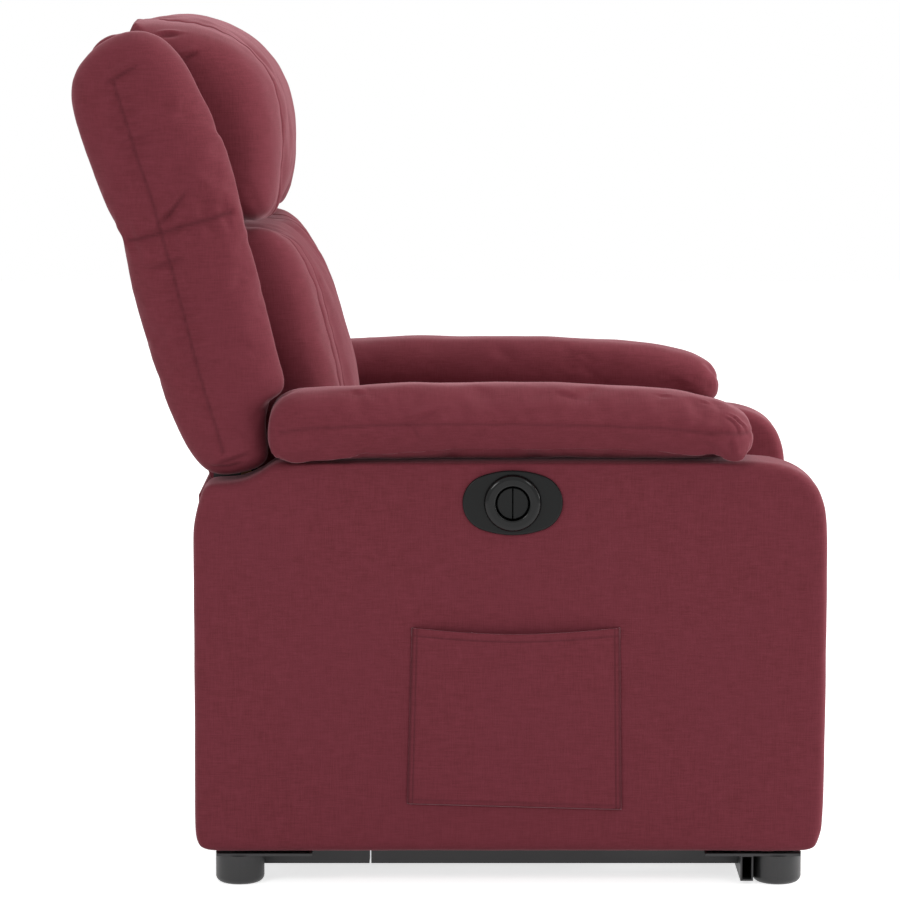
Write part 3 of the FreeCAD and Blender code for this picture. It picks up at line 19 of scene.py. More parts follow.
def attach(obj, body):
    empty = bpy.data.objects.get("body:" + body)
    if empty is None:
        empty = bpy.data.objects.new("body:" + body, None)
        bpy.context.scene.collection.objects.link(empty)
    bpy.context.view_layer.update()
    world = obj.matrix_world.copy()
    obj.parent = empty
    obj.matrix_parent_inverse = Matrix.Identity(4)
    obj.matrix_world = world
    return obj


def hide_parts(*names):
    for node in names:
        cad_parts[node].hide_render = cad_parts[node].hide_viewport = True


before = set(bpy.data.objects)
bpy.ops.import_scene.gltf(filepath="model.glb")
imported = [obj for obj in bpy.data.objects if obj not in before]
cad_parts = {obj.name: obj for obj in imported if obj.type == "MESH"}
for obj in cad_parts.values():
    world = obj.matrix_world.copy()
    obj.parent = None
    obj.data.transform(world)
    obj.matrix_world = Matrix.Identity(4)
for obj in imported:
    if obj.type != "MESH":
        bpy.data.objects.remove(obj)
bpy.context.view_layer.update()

MM = 0.001
LOG = logging.getLogger("recliner")
Array = np.ndarray
Pairs = Sequence[tuple[float, float]]                                   # places in the side view: Y and Z
Folds = Sequence[tuple[Pairs, float, float, float, float]]              # places, inset, depth, width, shade
Corner = tuple[float, float, float]
AROUND = 240                # points round an outline
FREE = math.inf


# Curves and surfaces

def resampled(curve: Array, count: int) -> Array:
    """Points at equal steps of arc length along an open polyline.

    Args:
        curve: the polyline, one point a row.
        count: how many points to return, ends among them.

    Returns:
        The evenly spaced points.
    """
    steps = np.linalg.norm(np.diff(curve, axis=0), axis=1)
    along = np.concatenate([[0.0], np.cumsum(steps)])
    wanted = np.linspace(0.0, along[-1], count)
    return np.stack([np.interp(wanted, along, curve[:, k]) for k in range(curve.shape[1])], axis=1)


def spline(points: Array, closed: bool, per_span: int = 16) -> Array:
    """A Catmull-Rom curve: between two points the cubic whose end slopes are half the chord of their neighbours.

    Args:
        points: the points that the curve passes through.
        closed: whether it returns to its first point.
        per_span: samples between neighbouring points.

    Returns:
        The samples, with the first repeated at the end where it is closed.
    """
    p = np.asarray(points, float)
    if closed:
        before, after, second = np.roll(p, 1, 0), np.roll(p, -1, 0), np.roll(p, -2, 0)
        here = p
    else:
        padded = np.vstack([2 * p[:1] - p[1:2], p, 2 * p[-1:] - p[-2:-1]])
        before, here, after, second = padded[:-3], padded[1:-2], padded[2:-1], padded[3:]
    t = np.linspace(0.0, 1.0, per_span, endpoint=False)[None, :, None]
    b, h, a, s = (q[:, None, :] for q in (before, here, after, second))
    curve = 0.5 * (2 * h + (a - b) * t + (2 * b - 5 * h + 4 * a - s) * t**2 + (3 * h - b - 3 * a + s) * t**3)
    curve = curve.reshape(-1, p.shape[1])
    last = curve[:1] if closed else p[-1:]
    return np.vstack([curve, last])


def nearest_on(path: Array, points: Array) -> tuple[Array, Array, Array]:
    """The nearest place of a polyline to each point.

    Args:
        path: the polyline.
        points: the points to measure from.

    Returns:
        The nearest places, their distances, and how far along the polyline they lie.
    """
    a, b = path[:-1], path[1:]
    d = b - a
    length = np.linalg.norm(d, axis=1)
    start = np.concatenate([[0.0], np.cumsum(length)])[:-1]
    rel = points[:, None, :] - a[None]
    t = np.clip((rel * d[None]).sum(2) / np.maximum(length**2, 1e-12)[None], 0.0, 1.0)
    place = a[None] + t[..., None] * d[None]
    gap = np.linalg.norm(points[:, None, :] - place, axis=2)
    best = gap.argmin(1)
    row = np.arange(len(points))
    return place[row, best], gap[row, best], start[best] + t[row, best] * length[best]


def ramp(value: Array, zero: float, one: float) -> Array:
    """0 at the first limit, 1 at the second, straight between them and held outside."""
    return np.clip((value - zero) / (one - zero), 0.0, 1.0)


def within(gap: Array, limit: float, soft: float = 0.5) -> Array:
    """1 nearer than the limit and 0 beyond it, with a soft step between."""
    return 1.0 / (1.0 + np.exp((gap - limit) / soft))


def grid_faces(rows: int, columns: int, wrap: bool) -> list[list[int]]:
    """Quads of a grid of points, row after row. With wrap the last column joins the first."""
    r = np.arange(rows - 1)[:, None]
    c = np.arange(columns if wrap else columns - 1)[None, :]
    n = (c + 1) % columns
    quads = np.stack([r * columns + c, r * columns + n, (r + 1) * columns + n, (r + 1) * columns + c], axis=-1)
    return quads.reshape(-1, 4).tolist()


def mesh_of(name: str, points: Array, faces: list[list[int]]) -> bpy.types.Object:
    """A mesh object at the origin from points in millimetres."""
    mesh = bpy.data.meshes.new(name)
    mesh.from_pydata((np.asarray(points) * MM).tolist(), [], faces)
    mesh.update()
    obj = bpy.data.objects.new(name, mesh)
    bpy.context.scene.collection.objects.link(obj)
    return obj


def points_of(mesh: bpy.types.Mesh) -> Array:
    """Vertex positions of a mesh, in millimetres."""
    flat = np.zeros(len(mesh.vertices) * 3, np.float32)
    mesh.vertices.foreach_get("co", flat)
    return flat.reshape(-1, 3).astype(float) / MM


def normals_of(mesh: bpy.types.Mesh) -> Array:
    """Vertex normals of a mesh."""
    flat = np.zeros(len(mesh.vertices) * 3, np.float32)
    mesh.vertices.foreach_get("normal", flat)
    return flat.reshape(-1, 3).astype(float)


def put_points(mesh: bpy.types.Mesh, points: Array) -> None:
    """Writes vertex positions, given in millimetres."""
    mesh.vertices.foreach_set("co", (points * MM).astype(np.float32).ravel())
    mesh.update()


def finished(obj: bpy.types.Object, kind: str, **settings: object) -> None:
    """Adds a modifier of that kind to an object and applies it to the mesh."""
    modifier = obj.modifiers.new(kind.lower(), kind)
    for key, value in settings.items():
        setattr(modifier, key, value)
    graph = bpy.context.evaluated_depsgraph_get()
    mesh = bpy.data.meshes.new_from_object(obj.evaluated_get(graph))
    obj.modifiers.remove(modifier)
    old = obj.data
    obj.data = mesh
    bpy.data.meshes.remove(old)
    mesh.name = obj.name


def relaxed(mesh: bpy.types.Mesh, points: Array, rounds: int, share: float = 0.5) -> Array:
    """Each point moves a share of the way to the mean of its neighbours, that many rounds."""
    ends = np.zeros(len(mesh.edges) * 2, np.int32)
    mesh.edges.foreach_get("vertices", ends)
    a, b = ends.reshape(-1, 2).T
    count = np.bincount(a, minlength=len(points)) + np.bincount(b, minlength=len(points))
    for _ in range(rounds):
        total = np.zeros_like(points)
        for k in range(3):
            total[:, k] = np.bincount(a, points[b, k], len(points)) + np.bincount(b, points[a, k], len(points))
        points = points + share * (total / np.maximum(count, 1)[:, None] - points)
    return points


def ripple(points: Array, wavelength: float, seed: int) -> Array:
    """A smooth value about 0 at each point: a sum of eight plane waves of about that wavelength, their ways seeded."""
    chance = np.random.default_rng(seed)
    total = np.zeros(len(points))
    for _ in range(8):
        way = chance.normal(size=3)
        way *= 2 * math.pi / (wavelength * np.linalg.norm(way) * chance.uniform(0.7, 1.4))
        total += np.sin(points @ way + chance.uniform(0.0, 2 * math.pi))
    return total / 4.0


# Sewn work on a stuffed piece

PUCKER_START = 6.0          # puckers are highest this far from the thread
PUCKER_REACH = 13.0         # and fade over this much
PAINTED_SHADE_HALF = 2.2           # half the width of the painted shade along a seam's groove


@dataclass(frozen=True)
class Seam:
    """A line of sewing on a surface, in millimetres.

    path passes near the surface and is laid onto it. depth and width give the groove that the thread pulls,
    gather how high the cloth puckers beside it, pitch how far apart the puckers stand, and shade how dark the
    painted shade in its groove lies.
    """

    path: tuple[tuple[float, float, float], ...]
    depth: float = 3.0
    width: float = 4.5
    gather: float = 0.0
    pitch: float = 16.0
    shade: float = 0.8


@dataclass(frozen=True)
class Crease:
    """A short fold in the cloth: a valley with a ridge on one side, fading out at its ends."""

    path: tuple[tuple[float, float, float], ...]
    depth: float = 2.5
    width: float = 4.0
    # how dark the painted shade in the fold's valley lies
    shade: float = 0.7


def side_seam(points: Pairs, x: float, **settings: float) -> Seam:
    """A seam drawn in the side view at one X."""
    return Seam(tuple((x, y, z) for y, z in points), **settings)


def side_folds(rows: Folds, x: float) -> tuple[Crease, ...]:
    """Folds drawn in the side view, each at its inset from one X."""
    return tuple(Crease(tuple((x + inset, y, z) for y, z in points), depth, width, shade)
                 for points, inset, depth, width, shade in rows)


def cross_seam(y: float, z: float, half: float, **settings: float) -> Seam:
    """A straight seam across the chair."""
    return Seam(tuple((x, y, z) for x in np.linspace(-half, half, 9)), **settings)


def keep_painted_shade(mesh: bpy.types.Mesh, values: Array) -> None:
    """Stores painted shade at each point, strongest on a seam's groove or in a fold's valley, for the cloth to darken.
    """
    layer = mesh.attributes.new("thread", "FLOAT", "POINT")
    layer.data.foreach_set("value", values.ravel().astype(np.float32))


def thickened(obj: bpy.types.Object, thickness: float) -> None:
    """Gives a piece laid as a grid its thickness, inwards from its outer face, and smooth shading."""
    finished(obj, "SOLIDIFY", thickness=thickness * MM, offset=-1.0)
    obj.data.shade_smooth()


def laid_on(mesh: bpy.types.Mesh, path: Sequence[Sequence[float]]) -> Array:
    """A smooth curve through the path's points, each sample moved to the nearest place of the surface."""
    curve = spline(np.array(path, float), False, 10)
    length = np.linalg.norm(np.diff(curve, axis=0), axis=1).sum()
    curve = resampled(curve, max(8, int(length / 5.0)))
    polygons = [tuple(p.vertices) for p in mesh.polygons]
    tree = BVHTree.FromPolygons((points_of(mesh) * MM).tolist(), polygons)
    found = [tree.find_nearest(Vector(p * MM))[0] for p in curve]
    return np.array([[*p] for p in found]) / MM


def near(points: Array, line: Array, reach: float) -> Array:
    """Which points lie within reach of a line's bounding box."""
    return ((points > line.min(0) - reach) & (points < line.max(0) + reach)).all(1)


def sew(obj: bpy.types.Object, seams: Sequence[Seam], creases: Sequence[Crease]) -> None:
    """Presses seams and folds into a mesh along its normals, and keeps painted shade near each seam and fold.

    A seam's groove is its depth times a bell curve of the distance to it. Its puckers are a cosine along the
    seam times a bell that starts outside the groove. A fold is the slope of a bell curve, so that one side
    sinks and the other rises. The kept value is painted shade, strongest on a seam or in a fold's valley.
    """
    mesh = obj.data
    points = points_of(mesh)
    normals = normals_of(mesh)
    lift = np.zeros(len(points))
    thread = np.zeros(len(points))
    for k, seam in enumerate(seams):
        line = laid_on(mesh, seam.path)
        mask = near(points, line, 40.0)
        _, gap, along = nearest_on(line, points[mask])
        groove = -seam.depth * np.exp(-((gap / seam.width) ** 2))
        wander = 1.0 + 0.5 * np.sin(along / (2.3 * seam.pitch) + k)
        wave = np.cos(2 * math.pi * along / seam.pitch + 1.7 * np.sin(along / 41.0 + 2.0 * k))
        pucker = seam.gather * wander * wave * np.exp(-(((gap - PUCKER_START) / PUCKER_REACH) ** 2))
        pucker *= np.clip(gap / 4.0, 0.0, 1.0)
        lift[mask] += groove + pucker
        # painted shade along the seam's groove
        thread[mask] = np.maximum(thread[mask], seam.shade * np.exp(-((gap / PAINTED_SHADE_HALF) ** 2)))
    for fold in creases:
        line = laid_on(mesh, fold.path)
        mask = near(points, line, 4.0 * fold.width)
        place, gap, along = nearest_on(line, points[mask])
        side_way = np.cross(normals[mask], line[-1] - line[0])
        side = np.sign(((points[mask] - place) * side_way).sum(1))
        fade = np.sin(math.pi * np.clip(along / along.max(), 0.02, 0.98)) ** 0.7
        u = side * gap / fold.width
        lift[mask] += fold.depth * fade * (0.9 * u * np.exp(-(u**2) / 2.0) - 0.7 * np.exp(-(u**2) * 2.0))
        # painted shade in the fold's valley
        thread[mask] = np.maximum(thread[mask], fold.shade * fade * np.exp(-((2.0 * u + 0.4) ** 2)))
    put_points(mesh, points + normals * lift[:, None])
    keep_painted_shade(mesh, thread)


BLOWING_FRAMES = 20
CLOTH = {"use_pressure": True, "vertex_group_mass": "held", "quality": 4, "shrink_min": -0.02,
         "tension_stiffness": 18.0, "compression_stiffness": 18.0, "bending_stiffness": 0.8}


def inflate(obj: bpy.types.Object, seams: Sequence[Seam], cap: float, pressure: float = 4.0) -> None:
    """Blows a closed cover up with simulated cloth, held along its seams, and keeps the result.

    Args:
        obj: the cover, an even mesh.
        seams: the lines that stay where they are.
        cap: how far a point may move, millimetres.
        pressure: air pressure inside.
    """
    mesh = obj.data
    start = points_of(mesh)
    held = np.zeros(len(start), bool)
    for seam in seams:
        line = laid_on(mesh, seam.path)
        mask = near(start, line, 10.0)
        _, gap, _ = nearest_on(line, start[mask])
        held[np.flatnonzero(mask)[gap < 5.0]] = True
    group = obj.vertex_groups.new(name="held")
    group.add(np.flatnonzero(held).tolist(), 1.0, "REPLACE")
    cloth = obj.modifiers.new("air", "CLOTH")
    for key, value in CLOTH.items():
        setattr(cloth.settings, key, value)
    cloth.settings.uniform_pressure_force = pressure
    cloth.settings.effector_weights.gravity = 0.0
    cloth.point_cache.frame_end = BLOWING_FRAMES
    for step in range(1, BLOWING_FRAMES + 1):
        bpy.context.scene.frame_set(step)
    graph = bpy.context.evaluated_depsgraph_get()
    blown = obj.evaluated_get(graph)
    moved = points_of(blown.data)
    obj.modifiers.remove(cloth)
    obj.vertex_groups.clear()
    bpy.context.scene.frame_set(1)
    way = moved - start
    length = np.linalg.norm(way, axis=1)
    LOG.info("%s: blown up by %.1f mm, %.1f mm at most", obj.name, length.mean(), length.max())
    soft = cap * np.tanh(length / cap)
    put_points(mesh, start + way * (soft / np.maximum(length, 1e-6))[:, None])


def fitted(points: Array, outline: Pairs, depth: float = 45.0, arcs: int = 60) -> Array:
    """A blown-up cover drawn back until its side view fills the drawn outline.

    The outline is cut into arcs, and the farthest point of each tells how far the cover stands off there. That
    much is taken away at the outline, and less and less down to nothing at the given depth inside it.
    """
    loop = resampled(spline(np.array(outline, float), True), AROUND + 1)
    step = np.diff(loop, axis=0)
    turn = np.sign((loop[:-1, 0] * step[:, 1] - loop[:-1, 1] * step[:, 0]).sum())
    out = turn * np.stack([step[:, 1], -step[:, 0]], axis=1) / np.linalg.norm(step, axis=1)[:, None]
    total = np.linalg.norm(step, axis=1).sum()
    middles = (np.arange(AROUND) + 0.5) * total / AROUND
    place, gap, along = nearest_on(loop, points[:, 1:])
    way = np.stack([np.interp(along, middles, out[:, k], period=total) for k in (0, 1)], axis=1)
    stands = gap * np.sign(((points[:, 1:] - place) * way).sum(1))
    farthest = np.full(arcs, -depth)
    np.maximum.at(farthest, (along / total * arcs).astype(int) % arcs, stands)
    farthest = (np.roll(farthest, 1) + 2.0 * farthest + np.roll(farthest, -1)) / 4.0
    excess = np.interp(along, (np.arange(arcs) + 0.5) * total / arcs, farthest, period=total)
    drawn = points.copy()
    drawn[:, 1:] -= way * (excess * np.clip(1.0 + stands / depth, 0.0, 1.0))[:, None]
    return drawn


@dataclass(frozen=True)
class Nose:
    """How the front of a cushion is rounded across the chair.

    The reach of its front shrinks along X as a superellipse of that power, which closes at that distance from
    the middle plane. It is at full strength above the second height and absent below the first. Where it
    crowns, the top is drawn down the same way.
    """

    reach: float
    power: float
    heights: tuple[float, float] = (0.0, 1.0)
    crowns: bool = False

    def drawn(self, grid: Array, heart: Array) -> Array:
        """Rings of points with the part ahead of the spine, and where it crowns the part above, drawn in.

        Args:
            grid: points by ring and place round the outline.
            heart: the side-view point of the spine nearest to each place.

        Returns:
            The rounded rings.
        """
        across = np.clip(np.abs(grid[..., 0]) / self.reach, 0.0, 0.999)
        keep = (1.0 - across**self.power) ** (1.0 / self.power)
        lost = ramp(grid[..., 2], *self.heights) * (1.0 - keep)
        ahead = np.minimum(grid[..., 1] - heart[None, :, 0], 0.0)
        above = np.maximum(grid[..., 2] - heart[None, :, 1], 0.0)
        rounded = grid.copy()
        rounded[..., 1] -= ahead * lost
        if self.crowns:
            rounded[..., 2] -= above * lost
        return rounded


@dataclass
class StuffedForm:
    """A stuffed cover: a side-view outline with thickness along X, rounded over both faces.

    Each ring of the surface is the outline drawn towards the spine, a line inside it. Over the edge the rings
    follow a quarter circle, and across the faces they run in to the spine while the face rises by its crown.
    slack and side_slack are how much smaller the cover is cut than it stands once blown up, in the outline and
    at the faces, calm how often its small wrinkles are smoothed, and room the two corners of the box that it
    keeps to. Sizes in millimetres.
    """

    name: str
    outline: Pairs
    spine: Pairs
    x_span: tuple[float, float]
    edge: float
    crown: float = 4.0
    voxel: float = 5.0
    slack: float = 3.0
    side_slack: float = 4.0
    cap: float = 10.0
    pressure: float = 4.0
    seams: tuple[Seam, ...] = ()
    creases: tuple[Crease, ...] = ()
    ripple: float = 0.5
    calm: int = 2
    nose: Nose | None = None
    shaping: Callable[[Array], Array] | None = None
    room: tuple[Corner, Corner] = ((-FREE, -FREE, -FREE), (FREE, FREE, FREE))

    def rings(self) -> tuple[Array, list[list[int]]]:
        """Points and quads of the plain cover, ring after ring from one face to the other."""
        loop = resampled(spline(np.array(self.outline, float), True), AROUND + 1)[:-1]
        heart, reach, _ = nearest_on(np.array(self.spine, float), loop)
        turn = np.radians(np.linspace(0.0, 90.0, 9))
        inset = self.slack + self.edge * (1.0 - np.sin(turn))
        depth = self.edge * (1.0 - np.cos(turn))
        inward = np.linspace(1.0, 0.0, 14)[:-1]
        shares, xs = [], []
        low, high = self.x_span[0] + self.side_slack, self.x_span[1] - self.side_slack
        over = [np.clip(1.0 - d / reach, 0.0, 1.0) for d in inset]
        for side, face in ((1.0, low), (-1.0, high)):
            flat = [over[0] * f for f in inward[::-1][:-1]]
            rise = [self.crown * (1.0 - f**2) for f in inward[::-1][:-1]]
            rings = [(f, face - side * r) for f, r in zip(flat, rise)] + [
                (f, face + side * d) for f, d in zip(over, depth)]
            rings = [(np.zeros_like(reach), face - side * self.crown)] + rings
            if side > 0:
                rings += [(over[-1], x) for x in np.linspace(low + self.edge, high - self.edge, 32)[1:-1]]
            else:
                rings = rings[::-1]
            shares += [r[0] for r in rings]
            xs += [r[1] for r in rings]
        share = np.stack(shares)
        points = heart[None] + (loop - heart)[None] * share[..., None]
        x = np.broadcast_to(np.array(xs)[:, None], share.shape)
        grid = np.concatenate([x[..., None], points], axis=2)
        if self.nose:
            grid = self.nose.drawn(grid, heart)
        return grid.reshape(-1, 3), grid_faces(len(xs), len(loop), True)

    def build(self) -> bpy.types.Object:
        """The finished cover: an even mesh, blown up, subdivided once, rippled, sewn and kept to its room."""
        points, faces = self.rings()
        if self.shaping:
            points = self.shaping(points)
        obj = mesh_of(self.name, points, faces)
        finished(obj, "REMESH", mode="VOXEL", voxel_size=self.voxel * MM, use_smooth_shade=True)
        put_points(obj.data, relaxed(obj.data, points_of(obj.data), 4))
        seams = [replace(s, path=tuple(map(tuple, laid_on(obj.data, s.path).tolist()))) for s in self.seams]
        if self.cap > 0.0:
            inflate(obj, seams, self.cap, self.pressure)
            blown = relaxed(obj.data, points_of(obj.data), self.calm, 0.4)
            plain = 2.0 * blown - self.shaping(blown) if self.shaping else blown
            put_points(obj.data, blown + fitted(plain, self.outline) - plain)
        elif self.cap > 0.0:
            normals = normals_of(obj.data)
            sideways = np.abs(normals[:, :1])
            put_points(obj.data, points_of(obj.data) + normals * (self.side_slack * sideways
                                                                  + self.slack * (1.0 - sideways)))
        finished(obj, "SUBSURF", levels=1, render_levels=1)
        waves = ripple(points_of(obj.data), 95.0, len(self.name)) + 0.4 * ripple(points_of(obj.data), 38.0, 7)
        put_points(obj.data, points_of(obj.data) + normals_of(obj.data) * (self.ripple * waves)[:, None])
        sew(obj, seams, self.creases)
        put_points(obj.data, np.clip(points_of(obj.data), *self.room))
        obj.data.shade_smooth()
        LOG.info("%s: %d faces", self.name, len(obj.data.polygons))
        return obj


def mirrored(obj: bpy.types.Object, name: str) -> bpy.types.Object:
    """The same piece on the other side of the chair, its faces turned back outwards."""
    mesh = obj.data.copy()
    mesh.name = name
    points = points_of(mesh)
    points[:, 0] *= -1.0
    put_points(mesh, points)
    mesh.flip_normals()
    other = bpy.data.objects.new(name, mesh)
    bpy.context.scene.collection.objects.link(other)
    return other


# Finishes

def linear(code: str) -> tuple[float, float, float, float]:
    """A colour for a shader from its sRGB hex code."""
    parts = [int(code[k:k + 2], 16) / 255.0 for k in (1, 3, 5)]
    values = [p / 12.92 if p <= 0.04045 else ((p + 0.055) / 1.055) ** 2.4 for p in parts]
    return (*values, 1.0)


def add(tree: bpy.types.NodeTree, kind: str, inputs: dict[str | int, object], **settings: object) -> bpy.types.Node:
    """Adds a node.

    Args:
        tree: the node tree.
        kind: the node's type name.
        inputs: a value or an output socket for each input, by name or number.
        settings: the node's own properties.

    Returns:
        The node.
    """
    node = tree.nodes.new(kind)
    for key, value in settings.items():
        setattr(node, key, value)
    for key, value in inputs.items():
        if isinstance(value, bpy.types.NodeSocket):
            tree.links.new(value, node.inputs[key])
        else:
            node.inputs[key].default_value = value
    return node


def surface(name: str) -> tuple[bpy.types.Material, bpy.types.NodeTree, bpy.types.Node]:
    """A new material with its Principled shader and nothing else on it."""
    material = bpy.data.materials.new(name)
    material.use_nodes = True
    tree = material.node_tree
    tree.nodes.clear()
    shader = tree.nodes.new("ShaderNodeBsdfPrincipled")
    out = tree.nodes.new("ShaderNodeOutputMaterial")
    tree.links.new(shader.outputs["BSDF"], out.inputs["Surface"])
    return material, tree, shader


def constants(shader: bpy.types.Node, values: dict[str, object]) -> None:
    """Sets a shader's plain inputs."""
    for key, value in values.items():
        shader.inputs[key].default_value = value


def seen_directly(tree: bpy.types.NodeTree) -> bpy.types.NodeSocket:
    """1 for a ray from the camera, through glass or off a gloss, and 0 for a ray of soft light."""
    path = add(tree, "ShaderNodeLightPath", {}).outputs
    seen = summed(tree, path["Is Camera Ray"], path["Is Transmission Ray"], "MAXIMUM")
    return summed(tree, seen, path["Is Glossy Ray"], "MAXIMUM")


def noise(tree: bpy.types.NodeTree, at: bpy.types.NodeSocket, size: tuple[float, float, float],
          detail: float = 2.0) -> bpy.types.NodeSocket:
    """A noise value whose grains have that size along X, Y and Z, in millimetres."""
    scale = tuple(1000.0 / s for s in size)
    place = add(tree, "ShaderNodeMapping", {"Vector": at, "Scale": scale})
    return add(tree, "ShaderNodeTexNoise", {"Vector": place.outputs[0], "Scale": 1.0, "Detail": detail,
                                            "Roughness": 0.55}).outputs["Fac"]


def ranged(tree: bpy.types.NodeTree, value: bpy.types.NodeSocket, low: float, high: float, to_low: float = 0.0,
           to_high: float = 1.0) -> bpy.types.NodeSocket:
    """A value carried from one range to another and held at its ends."""
    return add(tree, "ShaderNodeMapRange", {"Value": value, "From Min": low, "From Max": high, "To Min": to_low,
                                            "To Max": to_high}).outputs[0]


def blended(tree: bpy.types.NodeTree, share: object, a: object, b: object) -> bpy.types.NodeSocket:
    """Two colours mixed by a share."""
    return add(tree, "ShaderNodeMix", {0: share, 6: a, 7: b}, data_type="RGBA").outputs[2]


def summed(tree: bpy.types.NodeTree, a: object, b: object, operation: str = "ADD") -> bpy.types.NodeSocket:
    """Two values put together by a sum or another operation."""
    return add(tree, "ShaderNodeMath", {0: a, 1: b}, operation=operation).outputs[0]


@dataclass(frozen=True)
class WovenUpholstery:
    """Linen-look polyester, plain woven from uneven yarn: thick places in the yarn show as short light and dark
    streaks both ways, and the brushed face catches light at a grazing angle."""

    name: str = "linen_look_polyester_woven"
    dark: str = "#66272F"
    light: str = "#77323D"
    haze: str = "#702E3A"
    sheen: str = "#E8B4BC"
    yarn: float = 1.3           # thread spacing is about 0.6 mm, drawn coarser so that it shows
    slub: float = 19.0          # length of a thick place

    def build(self) -> bpy.types.Material:
        """The material."""
        material, tree, shader = surface(self.name)
        where = add(tree, "ShaderNodeTexCoord", {})
        at = where.outputs["Object"]
        fine, long = self.yarn, self.slub
        facing = add(tree, "ShaderNodeSeparateXYZ", {0: where.outputs["Normal"]})
        up = add(tree, "ShaderNodeMath", {0: facing.outputs[2]}, operation="ABSOLUTE").outputs[0]
        level = ranged(tree, up, 0.55, 0.85)
        weft = blended(tree, level, noise(tree, at, (long, long, fine)), noise(tree, at, (long, fine, long)))
        warp = blended(tree, level, noise(tree, at, (fine, fine, long)), noise(tree, at, (fine, long, long)))
        cloud = noise(tree, at, (150.0, 150.0, 150.0), 3.0)
        mottle = noise(tree, at, (14.0, 14.0, 9.0), 3.0)
        tone = summed(tree, ranged(tree, weft, 0.3, 0.7, 0.0, 0.55), ranged(tree, warp, 0.3, 0.7, 0.0, 0.45))
        tone = summed(tree, tone, ranged(tree, mottle, 0.3, 0.7, -0.16, 0.16))
        colour = blended(tree, tone, linear(self.dark), linear(self.light))
        colour = blended(tree, ranged(tree, cloud, 0.35, 0.7, 0.0, 0.35), colour, linear(self.haze))
        # painted shade: seam grooves and fold valleys darkened towards #3A141A by the stored attribute
        thread = add(tree, "ShaderNodeAttribute", {}, attribute_name="thread").outputs["Fac"]
        shade = ranged(tree, thread, 0.05, 1.0, 0.0, 0.6)
        colour = blended(tree, shade, colour, linear("#3A141A"))
        height = summed(tree, weft, warp)
        bump = add(tree, "ShaderNodeBump", {"Height": height, "Strength": 0.25, "Distance": 0.0005})
        tree.links.new(colour, shader.inputs["Base Color"])
        tree.links.new(bump.outputs[0], shader.inputs["Normal"])
        constants(shader, {"Roughness": 0.9, "Specular IOR Level": 0.25, "Sheen Weight": 0.45,
                           "Sheen Roughness": 0.29, "Sheen Tint": linear(self.sheen)})
        return material


@dataclass(frozen=True)
class Finish:
    """A hard finish: a base colour that wanders by grain, with its own roughness and fine relief."""

    name: str
    colour: str
    second: str
    grain: tuple[float, float, float]
    roughness: tuple[float, float]
    metallic: float = 0.0
    relief: float = 0.1
    depth: float = 0.0002
    specular: float = 0.5

    def build(self) -> bpy.types.Material:
        """The material."""
        material, tree, shader = surface(self.name)
        at = add(tree, "ShaderNodeTexCoord", {}).outputs["Object"]
        grain = noise(tree, at, self.grain, 4.0)
        wear = noise(tree, at, (70.0, 70.0, 70.0), 5.0)
        colour = blended(tree, ranged(tree, grain, 0.3, 0.7), linear(self.colour), linear(self.second))
        rough = summed(tree, ranged(tree, grain, 0.3, 0.7, self.roughness[0], self.roughness[1]),
                       ranged(tree, wear, 0.3, 0.7, -0.04, 0.04))
        bump = add(tree, "ShaderNodeBump", {"Height": grain, "Strength": self.relief, "Distance": self.depth})
        tree.links.new(colour, shader.inputs["Base Color"])
        tree.links.new(rough, shader.inputs["Roughness"])
        tree.links.new(bump.outputs[0], shader.inputs["Normal"])
        constants(shader, {"Metallic": self.metallic, "Specular IOR Level": self.specular})
        return material


class Hard(Enum):
    """The hard finishes of the chair."""

    # Powder coat on steel: satin black with a faint orange-peel skin.
    POWDER = Finish("steel_powder_coated_black", "#1B1B1D", "#222224", (0.9, 0.9, 0.9), (0.38, 0.5), 0.0, 0.25)
    # Zinc-plated steel: grey, slightly cloudy, brushed by the rolling of the strip.
    ZINC = Finish("steel_zinc_plated", "#9C9EA1", "#84878B", (1.2, 26.0, 26.0), (0.3, 0.45), 1.0, 0.12)
    # Turned aluminium rod: bright with fine turning marks.
    ROD = Finish("aluminium_turned", "#B9BBBE", "#A4A7AA", (3.0, 0.8, 0.8), (0.2, 0.34), 1.0, 0.12)
    # Glass-filled nylon of motor and glides: dull black with a moulded grain.
    NYLON = Finish("nylon_glass_filled_moulded", "#1E1F20", "#292A2B", (0.7, 0.7, 0.7), (0.5, 0.66), 0.0, 0.3)
    # Polypropylene feet: soft black sheen.
    FOOT = Finish("polypropylene_moulded_black", "#1A1A1B", "#232324", (1.1, 1.1, 1.1), (0.36, 0.48), 0.0, 0.2)
    # ABS control plate: satin black, spark-eroded grain.
    PLATE = Finish("abs_moulded_satin_black", "#0D0E0E", "#111212", (0.8, 0.8, 0.8), (0.34, 0.44), 0.0, 0.12,
                   specular=0.2)
    # Gloss ABS ring: polished tool surface.
    GLOSS = Finish("abs_moulded_gloss_black", "#0A0B0B", "#0D0E0E", (2.0, 2.0, 2.0), (0.1, 0.15), 0.0, 0.03,
                   0.0001, specular=0.27)
    # Buttons: matt soft-touch ABS.
    BUTTON = Finish("abs_moulded_matt_black", "#0F1010", "#141515", (0.6, 0.6, 0.6), (0.46, 0.54), 0.0, 0.2,
                    specular=0.2)
    # Pine: planed, pale, grain along the board.
    TIMBER = Finish("pine_planed", "#C79E6B", "#AC804E", (2.0, 3.0, 60.0), (0.55, 0.7), 0.0, 0.3, 0.0003)
    # Elastic webbing: black woven tape.
    WEBBING = Finish("elastic_webbing_woven", "#1D1C1E", "#34323A", (2.0, 1.2, 2.0), (0.8, 0.9), 0.0, 0.6, 0.0005)
    # PVC sheath of the lead.
    SHEATH = Finish("pvc_sheath_extruded", "#161616", "#1E1E1E", (1.0, 1.0, 1.0), (0.4, 0.5), 0.0, 0.1)


# The chair's pieces

